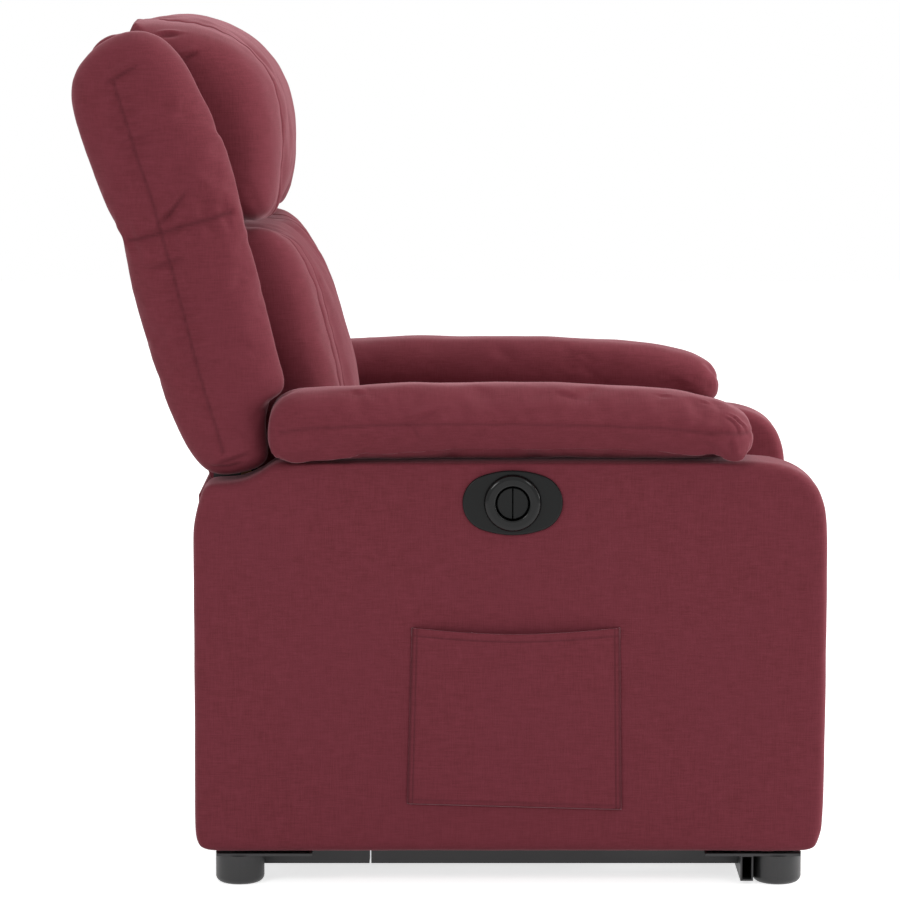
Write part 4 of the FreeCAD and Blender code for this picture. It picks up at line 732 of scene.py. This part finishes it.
@dataclass
class Upholstery:
    """The cloth of the chair, and how a piece gets it."""

    cloth: bpy.types.Material

    def dress(self, obj: bpy.types.Object, body: str, node: str) -> None:
        """Gives a piece its cloth and its body, and hides the node that it replaces.

        Args:
            obj: the piece.
            body: the body it rides on.
            node: the node that it replaces.
        """
        obj.data.materials.clear()
        obj.data.materials.append(self.cloth)
        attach(obj, body)
        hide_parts(node)

    def dress_pair(self, right: bpy.types.Object, left: bpy.types.Object, body: str, node: str) -> None:
        """Dresses a right and a left piece, whose nodes share the start of their names."""
        self.dress(right, body, f"{node}_right")
        self.dress(left, body, f"{node}_left")


@dataclass
class BackWings:
    """The two long side bolsters of the back, sewn down the middle of the side and gathered across it."""

    outer: float = 336.0
    inner: float = 251.0
    edge: float = 36.0
    outline: Pairs = (
        (253, 486), (272, 484.8), (291, 492), (310, 516), (331, 560), (346, 603), (362, 655), (374, 703), (384, 748),
        (393, 776), (405, 803), (418, 838), (430, 872), (441, 915), (441.5, 943), (432, 966), (412, 985.5), (390, 998),
        (369, 1003.5), (350, 1000.5), (331, 990), (309, 965), (291, 930), (270, 885), (255, 840), (242.5, 790),
        (232.5, 745), (221.5, 700), (209.5, 650), (199.5, 612), (194, 594), (196.5, 585.5), (205.5, 576.5),
        (213.5, 565), (217, 550), (217, 530), (215, 511), (216.5, 502), (224, 495), (237, 489.5))
    spine: Pairs = ((262, 545), (281, 640), (305, 760), (345, 870), (372, 935))
    folds: Folds = (
        (((345, 774), (326, 795), (304, 824)), 0.0, 6.5, 5.0, 0.6),
        (((366, 726), (338, 733), (308, 743)), 0.0, 4.2, 4.5, 0.4),
        (((404, 942), (382, 954), (358, 967)), 0.0, 5.0, 4.0, 0.7),
        (((294, 484), (267, 487), (240, 495)), 0.0, 3.6, 4.5, 0.6),
        (((282, 490), (262, 502), (234, 512)), 0.0, 4.0, 4.5, 0.5),
        (((318, 612), (304, 622), (284, 628)), 0.0, 2.4, 6.0, 0.2),
        (((372, 872), (352, 884), (330, 888)), 0.0, 2.2, 7.0, 0.1))
    back_half: float = 250.6    # the wings keep outside the back's own pieces

    def build(self, upholstery: Upholstery) -> None:
        """Makes both wings."""
        x = -self.outer
        middle = (
            (391, 944), (376, 898), (363, 854), (347, 808), (337, 770), (324, 724), (310, 669), (293, 602), (275, 542),
            (267, 513))
        across = ((388, 757), (364, 763), (338, 770), (309, 779), (280, 787), (257, 794), (243, 797))
        seams = (side_seam(middle, x, depth=2.0, width=2.8, gather=1.5, pitch=17.0, shade=0.55),
                 side_seam(across, x, depth=3.4, width=4.2, gather=1.4, pitch=21.0, shade=0.7))
        right = StuffedForm("back_wing_right_cover", self.outline, self.spine, (x, -self.inner), self.edge, crown=3.0,
                            slack=1.0, cap=9.0, seams=seams, creases=side_folds(self.folds, x),
                            room=((-FREE, -FREE, -FREE), (-self.back_half, FREE, FREE))).build()
        left = mirrored(right, "back_wing_left_cover")
        upholstery.dress_pair(right, left, "back", "back_wing")


@dataclass
class ArmPads:
    """The pillow pads that lie on the arms, with a seam along each side and tucks at the front."""

    inner: float = 242.0
    outer: float = 370.0
    edge: float = 36.0
    outline: Pairs = (
        (188, 505.2), (60, 505.2), (-60, 505.2), (-200, 505.2), (-325, 505.4), (-344.5, 510.5), (-353.5, 526),
        (-353, 543), (-341, 559), (-323, 569.5), (-300, 576.8), (-245, 586), (-168, 591), (-60, 593), (50, 592.6),
        (130, 589.5), (174, 586.5), (190, 583), (203, 575.5), (211, 563), (214.8, 547), (215, 530), (213, 517),
        (207, 508))
    spine: Pairs = ((163, 547), (-298, 541))
    folds: Folds = (
        (((58, 556), (46, 549), (34, 527)), 0.0, 3.4, 5.5, 0.3),
        (((60, 549), (42, 558), (18, 572)), 0.0, 3.0, 5.0, 0.3),
        (((-316, 573), (-330, 558), (-334, 540)), 10.0, 1.9, 2.6, 0.35),
        (((-323, 572), (-338.5, 559.5), (-344.5, 543)), 18.0, 2.3, 2.4, 0.4),
        (((-289, 584), (-295, 579), (-301, 572)), 34.0, 1.2, 2.6, 0.1),
        (((-241, 591), (-250, 588), (-259, 583)), 36.0, 1.3, 3.0, 0.1),
        (((-322, 538), (-326, 526), (-325, 513)), 8.0, 2.0, 4.0, 0.3),
        (((118, 588), (112, 584), (100, 579)), 30.0, 2.4, 6.0, 0.2),
        (((-120, 588), (-130, 584), (-150, 578)), 30.0, 2.2, 6.0, 0.2))
    seat: float = 504.9         # height of the panel under the pad, with the cloth between
    rear: float = 215.5
    lip_x: float = 346.0        # the lip hangs outside this
    lip_low: float = 511.0      # heights from here
    lip_high: float = 548.0     # to here are stretched down
    lip_end: float = 505.3      # until its edge is here
    drops: tuple[float, float] = (4.5, 1.8)     # and lower by this at its front and rear

    def build(self, upholstery: Upholstery) -> None:
        """Makes both pads."""
        x = -self.outer
        side = ((206, 543), (155, 547), (52, 551), (-87, 551), (-220, 548), (-299, 543))
        front = ((x, -299.0, 543.0), (x + 14.0, -332.0, 541.0), (x + 40.0, -350.0, 539.0), (-300.0, -353.0, 539.0),
                 (-268.0, -348.0, 539.0))
        seams = (side_seam(side, x, depth=1.3, width=2.8, gather=0.35, pitch=31.0, shade=0.45),
                 Seam(front, depth=0.9, width=2.6, shade=0.45))
        right = StuffedForm("arm_pad_right_cover", self.outline, self.spine, (x, -self.inner), self.edge, crown=2.0,
                            slack=1.0, cap=8.0, seams=seams, creases=side_folds(self.folds, x), ripple=0.7).build()
        put_points(right.data, self.lying(points_of(right.data)))
        left = mirrored(right, "arm_pad_left_cover")
        upholstery.dress_pair(right, left, "chair_frame", "arm_pad")

    def lying(self, points: Array) -> Array:
        """The right pad flattened where it lies on the panel, its outer lip stretched down, most at the front."""
        x, y, z = points.T
        outside = ramp(-x, self.lip_x, self.lip_x + 3.0)
        lowest = self.lip_end - self.drops[0] * ramp(y, -225.0, -325.0) - self.drops[1] * ramp(y, 120.0, 180.0)
        low = ramp(z, self.lip_high, self.lip_low)
        hung = np.where(low > 0.0, self.lip_high - low * (self.lip_high - lowest), z)
        level = np.maximum(z, self.seat)
        return np.stack([x, np.minimum(y, self.rear), level + outside * (np.minimum(hung, z) - level)], axis=1)


@dataclass
class ArmPanels:
    """The covered sides of the chair: flat foam over timber with a rolled front top corner."""

    inner: float = 250.0
    outer: float = 345.0
    edge: float = 11.0
    outline: Pairs = (
        (282, 40), (296, 43.5), (303, 60), (303, 200), (303, 330), (303, 418), (300, 440), (295, 460), (290, 473),
        (284, 478), (252, 479), (226, 489), (207, 502), (188, 504.5), (60, 504.5), (-120, 504.5), (-330, 504.5),
        (-356, 504), (-380, 501.5), (-399, 496), (-414.5, 487.5), (-426.5, 475.5), (-434, 460), (-438.5, 441),
        (-440.2, 419), (-440.6, 396), (-440.6, 300), (-440, 180), (-438.5, 95), (-436, 62), (-429, 45.5), (-415, 40),
        (-250, 40), (0, 40), (160, 40))
    spine: Pairs = ((70, 270), (-210, 270))
    top: float = 504.5
    control: tuple[float, float] = (-70.7, 457.2)
    recess: float = 21.0        # radius of the opening behind the control
    recess_floor: float = 306.0
    squareness: float = 0.85    # of the shoulder under the pad, where 1 is a full corner

    def build(self, upholstery: Upholstery) -> None:
        """Makes both panels. The right one is cut away behind the control."""
        right = StuffedForm("arm_panel_right_cover", self.outline, self.spine, (-self.outer, -self.inner), self.edge,
                            crown=0.8, voxel=6.6, slack=0.0, side_slack=0.0, cap=0.0, ripple=0.2).build()
        left = mirrored(right, "arm_panel_left_cover")
        points = points_of(right.data)
        cut = (np.hypot(*(points[:, 1:] - self.control).T) < self.recess) & (points[:, 0] < -300.0)
        points[cut, 0] = -self.recess_floor
        put_points(right.data, points)
        for panel, sign in ((right, -1.0), (left, 1.0)):
            put_points(panel.data, self.shouldered(points_of(panel.data), sign))
        upholstery.dress_pair(right, left, "chair_frame", "arm_panel")

    def shouldered(self, points: Array, sign: float) -> Array:
        """The points with the rolled outer edge squared under the pad, so that the pad lies on a full shoulder: the
        step from the roll's centre line is stretched until its longer part meets the side or the top."""
        step = np.stack((sign * points[:, 0] - self.outer, points[:, 2] - self.top), axis=1) + self.edge
        corner = (step > 0.0).all(axis=1)
        reach = np.hypot(*step.T) / np.maximum(step.max(axis=1), 1e-6)
        under = ramp(points[:, 1], -338.0, -313.0) * ramp(points[:, 1], 192.0, 177.0)
        grown = np.where(corner, self.squareness * under * (reach - 1.0), 0.0)
        squared = points.copy()
        squared[:, 0] += sign * step[:, 0] * grown
        squared[:, 2] += step[:, 1] * grown
        return squared


@dataclass
class SidePocket:
    """The magazine pocket sewn on the right panel: hemmed along its sagging mouth and stitched twice down its sides."""

    face: float = 346.2
    rear: tuple[float, float] = (46.0, 52.0)
    front: tuple[float, float] = (-196.0, -199.0)
    bottom: tuple[float, float] = (101.0, 94.0)
    top: float = 310.0
    sag: float = 6.5
    mouth: float = 7.0
    hem: float = 10.0
    skin: float = 1.6

    def build(self, upholstery: Upholstery) -> None:
        """A patch over two shares, a along the pocket and b up it. Its height off the panel is a skin, a hem band,
        a folded margin round the rest, and a belly that grows with the fourth power of b and the sine of a."""
        rows, columns = 116, 132
        b, a = np.meshgrid(np.linspace(0.0, 1.0, rows), np.linspace(0.0, 1.0, columns), indexing="ij")
        back = self.rear[1] + (self.rear[0] - self.rear[1]) * b
        ahead = self.front[1] + (self.front[0] - self.front[1]) * b
        y = back + (ahead - back) * a
        low = self.bottom[0] + (self.bottom[1] - self.bottom[0]) * a
        high = self.top - self.sag * np.sin(math.pi * a)
        z = low + (high - low) * b
        side = np.minimum(y - ahead, back - y)
        down = high - z
        up = z - low
        belly = self.mouth * b**4 * np.sin(math.pi * a) ** 0.7 + 1.2 * np.sin(math.pi * a) * np.sin(math.pi * b)
        off = self.skin + belly + within(down, self.hem) + 0.6 * within(side, 7.0) + 0.5 * within(up, 6.0)
        stitching = [np.abs(gap - line) for gap, line in (
            (down, self.hem - 1.5), (side, 2.0), (side, 6.0), (up, 4.5))]
        for gap in stitching:
            off -= 0.8 * np.exp(-((gap / 0.9) ** 2))
        off += 0.35 * np.sin(a * 19.0 + 2.0 * np.sin(b * 5.0)) * b * np.sin(math.pi * a)
        off *= np.clip(np.minimum(side, up) / 1.5, 0.12, 1.0)
        grid = np.stack([-(self.face + off), y, z], axis=2).reshape(-1, 3)
        obj = mesh_of("side_pocket_cloth", grid, grid_faces(rows, columns, False))
        obj.data.flip_normals()
        # painted shade along the stitching grooves and where the patch meets the panel
        gap = np.minimum.reduce(stitching + [side + 0.5, up + 0.5])
        keep_painted_shade(obj.data, 0.8 * np.exp(-((gap / 1.1) ** 2)))
        thickened(obj, 1.4)
        upholstery.dress(obj, "chair_frame", "side_pocket")


@dataclass
class SeatCushion:
    """The seat cushion, crowned across and rolled over at the front."""

    half: float = 246.0
    outline: Pairs = (
        (-332, 339.6), (-110, 339.6), (89, 339.6), (105, 353), (112, 398), (107, 434), (86, 452), (20, 459),
        (-70, 461.5), (-160, 462), (-250, 461), (-330, 456), (-380, 448), (-412, 430), (-427, 400), (-428, 368),
        (-412, 349), (-375, 341.5))
    spine: Pairs = ((60, 400), (-375, 398))
    frame_top: float = 335.5

    def build(self, upholstery: Upholstery) -> None:
        """Makes the cushion."""
        half = self.half
        seams = tuple(cross_seam(y, z, half - 8.0, depth=2.2, width=3.6, gather=0.4, pitch=pitch)
                      for y, z, pitch in ((-424.0, 372.0, 37.0), (-398.0, 441.0, 33.0)))
        obj = StuffedForm("seat_cushion_cover", self.outline, self.spine, (-half, half), 28.0, crown=2.0, voxel=6.0,
                          slack=4.0, cap=22.0, seams=seams, ripple=0.9,
                          room=((-half - 3.0, -FREE, self.frame_top), (half + 3.0, FREE, FREE))).build()
        upholstery.dress(obj, "seat", "seat_cushion")


def sagging(points: Array) -> Array:
    """The head pillow's weight bows its lower edge and the top of the lumbar cushion under it down in the middle.

    The drop is the fourth power of the distance from the middle plane, and fades out above and below the edge.
    """
    drop, half = 17.0, 246.0
    bowed = np.array(points, float)
    z = bowed[:, 2]
    level = ramp(z, 690.0, 775.0) * ramp(z, 860.0, 795.0)
    bowed[:, 2] -= drop * (1.0 - np.clip(np.abs(bowed[:, 0]) / half, 0.0, 1.0) ** 4) * level
    return bowed


def bowed_path(path: Sequence[Sequence[float]]) -> tuple[tuple[float, ...], ...]:
    """A seam's path that follows the same bow."""
    return tuple(tuple(point) for point in sagging(np.array(path, float)))


@dataclass
class LumbarCushion:
    """The lumbar cushion, crowned forward, with two rows of sewing down each side of its front."""

    half: float = 240.5
    outline: Pairs = (
        (142, 342), (200, 342), (222, 349), (229, 375), (228, 440), (252, 520), (277, 600), (300, 680), (320, 745),
        (322, 766), (312, 779), (286, 783), (246, 783.5), (218, 780), (199, 770), (182, 752), (164, 722), (147, 682),
        (133.5, 640), (121.5, 595), (114, 548), (112, 505), (114.5, 475), (122, 452), (126, 430), (126, 380),
        (129, 352))
    spine: Pairs = ((176, 390), (178, 470), (190, 560), (215, 650), (248, 735))

    def build(self, upholstery: Upholstery) -> None:
        """Makes the cushion."""
        half = self.half
        side = (
            (241, 783.5), (227, 785), (210, 777.5), (194, 761), (174, 727), (156, 696), (143, 652), (132, 605),
            (124, 560), (119, 515), (116, 480))
        seams = tuple(Seam(bowed_path([(x, y, z) for y, z in side]), depth=depth, width=2.6, gather=0.3, pitch=29.0,
                           shade=shade)
                      for x, depth, shade in ((-160.0, 2.4, 0.8), (-122.0, 1.8, 0.6), (122.0, 1.8, 0.6),
                                              (160.0, 2.4, 0.8)))
        obj = StuffedForm("lumbar_cushion_cover", self.outline, self.spine, (-half, half), 26.0, crown=0.0, voxel=6.0,
                          slack=4.0, cap=22.0, seams=seams, ripple=0.7, calm=10, shaping=sagging,
                          nose=Nose(257.0, 3.0, (440.0, 540.0)),
                          room=((-half - 7.5, -FREE, -FREE), (half + 7.5, FREE, FREE))).build()
        upholstery.dress(obj, "back", "lumbar_cushion")


@dataclass
class HeadPillow:
    """The head pillow, rolled over the top of the back, with piped seams down both sides of its front."""

    half: float = 246.0
    outline: Pairs = (
        (228, 787), (268, 785), (300, 787), (322, 796), (338, 830), (356, 890), (372, 940), (382, 966), (386, 986),
        (391, 1002), (386, 1011), (370, 1017), (350, 1020), (326, 1020.5), (303, 1016.5), (278, 1008), (256, 996),
        (235.5, 979), (218.5, 959), (206, 935), (197.5, 905), (194.5, 880), (195, 852), (200, 828), (209, 803),
        (217, 792))
    spine: Pairs = ((268, 850), (285, 910), (310, 960))
    inset: float = 98.0

    def build(self, upholstery: Upholstery) -> None:
        """Makes the pillow."""
        x = -self.half + self.inset
        line = (
            (348, 1014), (318, 1016), (291, 1011), (251, 993), (223, 966), (206, 935), (198, 908), (196, 883),
            (198, 856), (203, 834), (212, 800), (220, 780))
        seams = tuple(Seam(bowed_path([(side, y, z) for y, z in line]), depth=2.6, width=2.4, gather=0.3, pitch=23.0)
                      for side in (x, -x))
        top, rear = ((348, 990), (335, 998), (319, 1004)), ((322, 966), (310, 974), (296, 982))
        creases = side_folds(((top, 20.0, 4.6, 4.0, 0.7), (rear, 0.0, 4.6, 4.0, 0.7),
                              (top, 2.0 * self.half - 20.0, 4.6, 4.0, 0.7)), -self.half)
        obj = StuffedForm("head_pillow_cover", self.outline, self.spine, (-self.half, self.half), 28.0, crown=2.0,
                          voxel=6.0, slack=4.0, cap=22.0, pressure=2.5, seams=seams, creases=creases, ripple=0.6,
                          calm=10, shaping=sagging, nose=Nose(252.0, 3.5, crowns=True),
                          room=((-self.half - 5.5, -FREE, -FREE), (self.half + 5.5, FREE, FREE))).build()
        upholstery.dress(obj, "back", "head_pillow")


@dataclass
class FootrestPad:
    """The padded front of the footrest, sewn round its border."""

    half: float = 243.0
    outline: Pairs = (
        (-416, 61), (-402, 61), (-394, 66), (-391.6, 90), (-391.6, 199), (-391.6, 308), (-394, 332), (-402, 337),
        (-416, 337), (-425, 328), (-428, 300), (-429.5, 199), (-428, 98), (-425, 70))
    spine: Pairs = ((-409, 85), (-409, 313))
    board_front: float = -391.4

    def build(self, upholstery: Upholstery) -> None:
        """Makes the pad."""
        half = self.half
        seams = tuple(cross_seam(-427.0, z, half - 16.0, depth=1.8, width=3.2) for z in (320.0, 78.0))
        obj = StuffedForm("footrest_pad_cover", self.outline, self.spine, (-half, half), 15.0, crown=0.0, voxel=6.0,
                          slack=3.0, cap=8.0, seams=seams, ripple=0.6,
                          room=((-half - 4.5, -FREE, -FREE), (half + 4.5, self.board_front, FREE))).build()
        upholstery.dress(obj, "footrest", "footrest_pad")


@dataclass
class BackShell:
    """The covered rear of the back, rolled forward over the top of the frame and narrower beside the hinges."""

    half: float = 249.6
    foot: float = 470.5
    top: float = 942.0
    thick: float = 13.6
    hinge_half: float = 236.2
    hinge_top: float = 532.0
    foot_y: float = 297.0       # Y of the rear face at the hinge's height
    hinge_z: float = 505.0
    lean: float = 0.31

    def plane(self, z: float) -> float:
        """Y of the rear face at a height."""
        return self.foot_y + self.lean * (z - self.hinge_z)

    def build(self, upholstery: Upholstery) -> None:
        """Makes the cover."""
        heights = np.linspace(self.foot, self.top, 9)
        rear = [(self.plane(z), z) for z in heights]
        over = [(430, 962), (424, 980), (410, 994), (389, 1000), (387.6, 988.5), (402, 981), (413, 969)]
        front = [(self.plane(z) - self.thick, z) for z in heights[::-1]]
        spine = [(self.plane(z) - self.thick / 2.0, z) for z in heights] + [(419.0, 968.0), (396.0, 990.0)]
        inner = self.half - 20.0
        seams = tuple(side_seam(rear, x, depth=1.6, width=3.0) for x in (-inner, inner))
        obj = StuffedForm("back_shell_cover", tuple(rear + over + front), tuple(spine), (-self.half, self.half), 6.0,
                          crown=0.0, voxel=6.0, slack=0.0, side_slack=0.0, cap=0.0, ripple=0.25, seams=seams).build()
        points = points_of(obj.data)
        limit = np.where(points[:, 2] < self.hinge_top, self.hinge_half, self.half)
        points[:, 0] = np.clip(points[:, 0], -limit, limit)
        put_points(obj.data, points)
        upholstery.dress(obj, "back", "back_shell")


@dataclass
class RearValance:
    """The covered board between the arms at the rear, with an opening for the power inlet."""

    half: float = 250.2
    low: float = 55.0
    high: float = 458.0
    rear: float = 301.0
    thick: float = 8.6
    hole_x: tuple[float, float] = (-164.3, -135.7)
    hole_z: tuple[float, float] = (79.7, 98.3)

    def build(self, upholstery: Upholstery) -> None:
        """A grid over X and Z without the quads inside the opening. Its rear face sinks by a quarter circle at the
        border and swells by the product of two sines."""
        xs = np.concatenate([np.linspace(-self.half, self.hole_x[0], 24), np.linspace(*self.hole_x, 9)[1:],
                             np.linspace(self.hole_x[1], self.half, 90)[1:]])
        zs = np.concatenate([np.linspace(self.low, self.hole_z[0], 9), np.linspace(*self.hole_z, 7)[1:],
                             np.linspace(self.hole_z[1], self.high, 84)[1:]])
        z, x = np.meshgrid(zs, xs, indexing="ij")
        border = np.minimum.reduce([x + self.half, self.half - x, z - self.low, self.high - z])
        sink = 4.0 * (1.0 - np.sqrt(1.0 - (1.0 - np.clip(border / 4.0, 0.0, 1.0)) ** 2))
        swell = 0.9 * np.sin(math.pi * (x + self.half) / (2 * self.half)) * np.sin(
            math.pi * (z - self.low) / (self.high - self.low))
        grid = np.stack([x, self.rear - sink + swell, z], axis=2).reshape(-1, 3)
        faces = np.array(grid_faces(len(zs), len(xs), False))
        centre = grid[faces].mean(1)
        inside = ((centre[:, 0] > self.hole_x[0]) & (centre[:, 0] < self.hole_x[1])
                  & (centre[:, 2] > self.hole_z[0]) & (centre[:, 2] < self.hole_z[1]))
        obj = mesh_of("rear_valance_cover", grid, faces[~inside].tolist())
        obj.data.flip_normals()
        thickened(obj, self.thick)
        upholstery.dress(obj, "chair_frame", "rear_valance")


# The pieces whose solids show as they are

STEEL = ("side_rail", "front_cross_tube", "mid_cross_tube", "rear_cross_tube", "corner_plates", "pivot_tower",
         "lower_link", "torque_tube", "side_plate", "chair_cross_tubes", "seat_frame", "back_arm_plates",
         "pad_brackets")
ZINC = ("foot_bolts", "base_pins", "chair_pins", "upper_links", "thigh_links", "second_links", "shin_links",
        "pad_links")
FINISHES: dict[Hard, tuple[str, ...]] = {
    Hard.POWDER: STEEL,
    Hard.ZINC: ZINC,
    Hard.ROD: ("lift_rod", "recline_rod"),
    Hard.NYLON: ("lift_motor", "recline_motor", "seat_glides", "control_box", "switch_housing"),
    Hard.FOOT: ("feet",),
    Hard.PLATE: ("control_plate",),
    Hard.GLOSS: ("control_ring",),
    Hard.BUTTON: ("recline_button", "lift_button"),
    Hard.TIMBER: ("arm_frame", "back_frame", "footrest_board"),
    Hard.WEBBING: ("seat_webbing",),
    Hard.SHEATH: ("switch_lead",),
}


def dress_solids() -> None:
    """Gives every solid that shows its finish."""
    for finish, starts in FINISHES.items():
        material = finish.value.build()
        for name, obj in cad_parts.items():
            if name.startswith(starts):
                obj.data.materials.clear()
                obj.data.materials.append(material)
        LOG.info("finish %s", finish.value.name)


# The studio

WHITE = (1.0, 1.0, 1.0, 1.0)
LAMP_AIM = (0.0, 0.0, 0.6)
LAMPS = (                   # name, place, size in metres, watts
    ("top_lamp", (0.9, 0.2, 3.3), (3.0, 3.0), 40.0),
    ("front_lamp", (0.3, -3.7, 1.7), (2.2, 2.2), 121.0),
    ("rear_catch_lamp", (-3.2, 2.5, 2.6), (1.4, 1.2), 36.0),
    ("front_catch_lamp", (-3.2, -2.5, 3.0), (1.1, 1.0), 18.0))


@dataclass
class Studio:
    """A white floor and backdrop, soft lamps and the camera on the chair's right."""

    camera_x: float = -4.917
    camera_z: float = 1.064
    tilt: float = 6.80
    lens: float = 158.3
    sky: float = 0.55           # strength of the soft light from all round
    floor_half: float = 9000.0
    floor_glow: float = 0.72

    def build(self) -> None:
        """Makes the floor, the world, the lamps and the camera."""
        scene = bpy.context.scene
        scene.view_settings.view_transform = "Standard"
        self.make_floor()
        self.make_world()
        for name, at, size, power in LAMPS:
            self.make_lamp(name, at, size, power)
        data = bpy.data.cameras.new("camera")
        data.lens = self.lens
        data.sensor_width = 36.0
        data.clip_end = 60.0
        camera = bpy.data.objects.new("camera", data)
        scene.collection.objects.link(camera)
        camera.location = (self.camera_x, 0.002, self.camera_z)
        camera.rotation_euler = (math.radians(90.0 - self.tilt), 0.0, math.radians(-90.0))
        scene.camera = camera

    def make_lamp(self, name: str, at: Corner, size: tuple[float, float], power: float) -> None:
        """A soft rectangular lamp aimed at the middle of the chair."""
        data = bpy.data.lights.new(name, "AREA")
        data.shape = "RECTANGLE"
        data.size, data.size_y = size
        data.energy = power
        lamp = bpy.data.objects.new(name, data)
        bpy.context.scene.collection.objects.link(lamp)
        lamp.location = at
        lamp.rotation_euler = (Vector(LAMP_AIM) - Vector(at)).to_track_quat("-Z", "Y").to_euler()

    def make_world(self) -> None:
        """A soft even light, seen as white by the camera and in reflections."""
        world = bpy.data.worlds.new("studio")
        bpy.context.scene.world = world
        world.use_nodes = True
        tree = world.node_tree
        tree.nodes.clear()
        soft, white = (add(tree, "ShaderNodeBackground", {"Color": WHITE, "Strength": strength})
                       for strength in (self.sky, 1.0))
        mixed = add(tree, "ShaderNodeMixShader", {0: seen_directly(tree), 1: soft.outputs[0], 2: white.outputs[0]})
        add(tree, "ShaderNodeOutputWorld", {"Surface": mixed.outputs[0]})

    def make_floor(self) -> None:
        """A wide matt floor that keeps the chair's shadow: white paper with a little of its own white to the camera."""
        reach = (-self.floor_half, self.floor_half)
        grid = np.array([[x, y, 0.0] for x in reach for y in reach])
        floor = mesh_of("floor", grid, [[0, 2, 3, 1]])
        material, tree, shader = surface("paper_backdrop_matt")
        at = add(tree, "ShaderNodeTexCoord", {}).outputs["Object"]
        fibre = noise(tree, at, (40.0, 40.0, 40.0))
        tree.links.new(blended(tree, fibre, linear("#E9E9E9"), linear("#EFEFEF")), shader.inputs["Base Color"])
        constants(shader, {"Roughness": 0.9, "Specular IOR Level": 0.1})
        glow = add(tree, "ShaderNodeEmission", {
            "Color": WHITE, "Strength": summed(tree, seen_directly(tree), self.floor_glow, "MULTIPLY")})
        both = add(tree, "ShaderNodeAddShader", {0: shader.outputs[0], 1: glow.outputs[0]})
        out = next(node for node in tree.nodes if node.type == "OUTPUT_MATERIAL")
        tree.links.new(both.outputs[0], out.inputs["Surface"])
        floor.data.materials.append(material)


def main() -> None:
    """Builds the studio, the covers and the finishes in order."""
    logging.basicConfig(level=logging.INFO, format="%(message)s")
    Studio().build()
    cloth = WovenUpholstery().build()
    upholstery = Upholstery(cloth)
    for part in (ArmPanels(), ArmPads(), SidePocket(), BackWings(), HeadPillow(), LumbarCushion(), BackShell(),
                 RearValance(), SeatCushion(), FootrestPad()):
        part.build(upholstery)
        LOG.info("%s done", type(part).__name__)
    dress_solids()


if __name__ == "__main__":
    main()
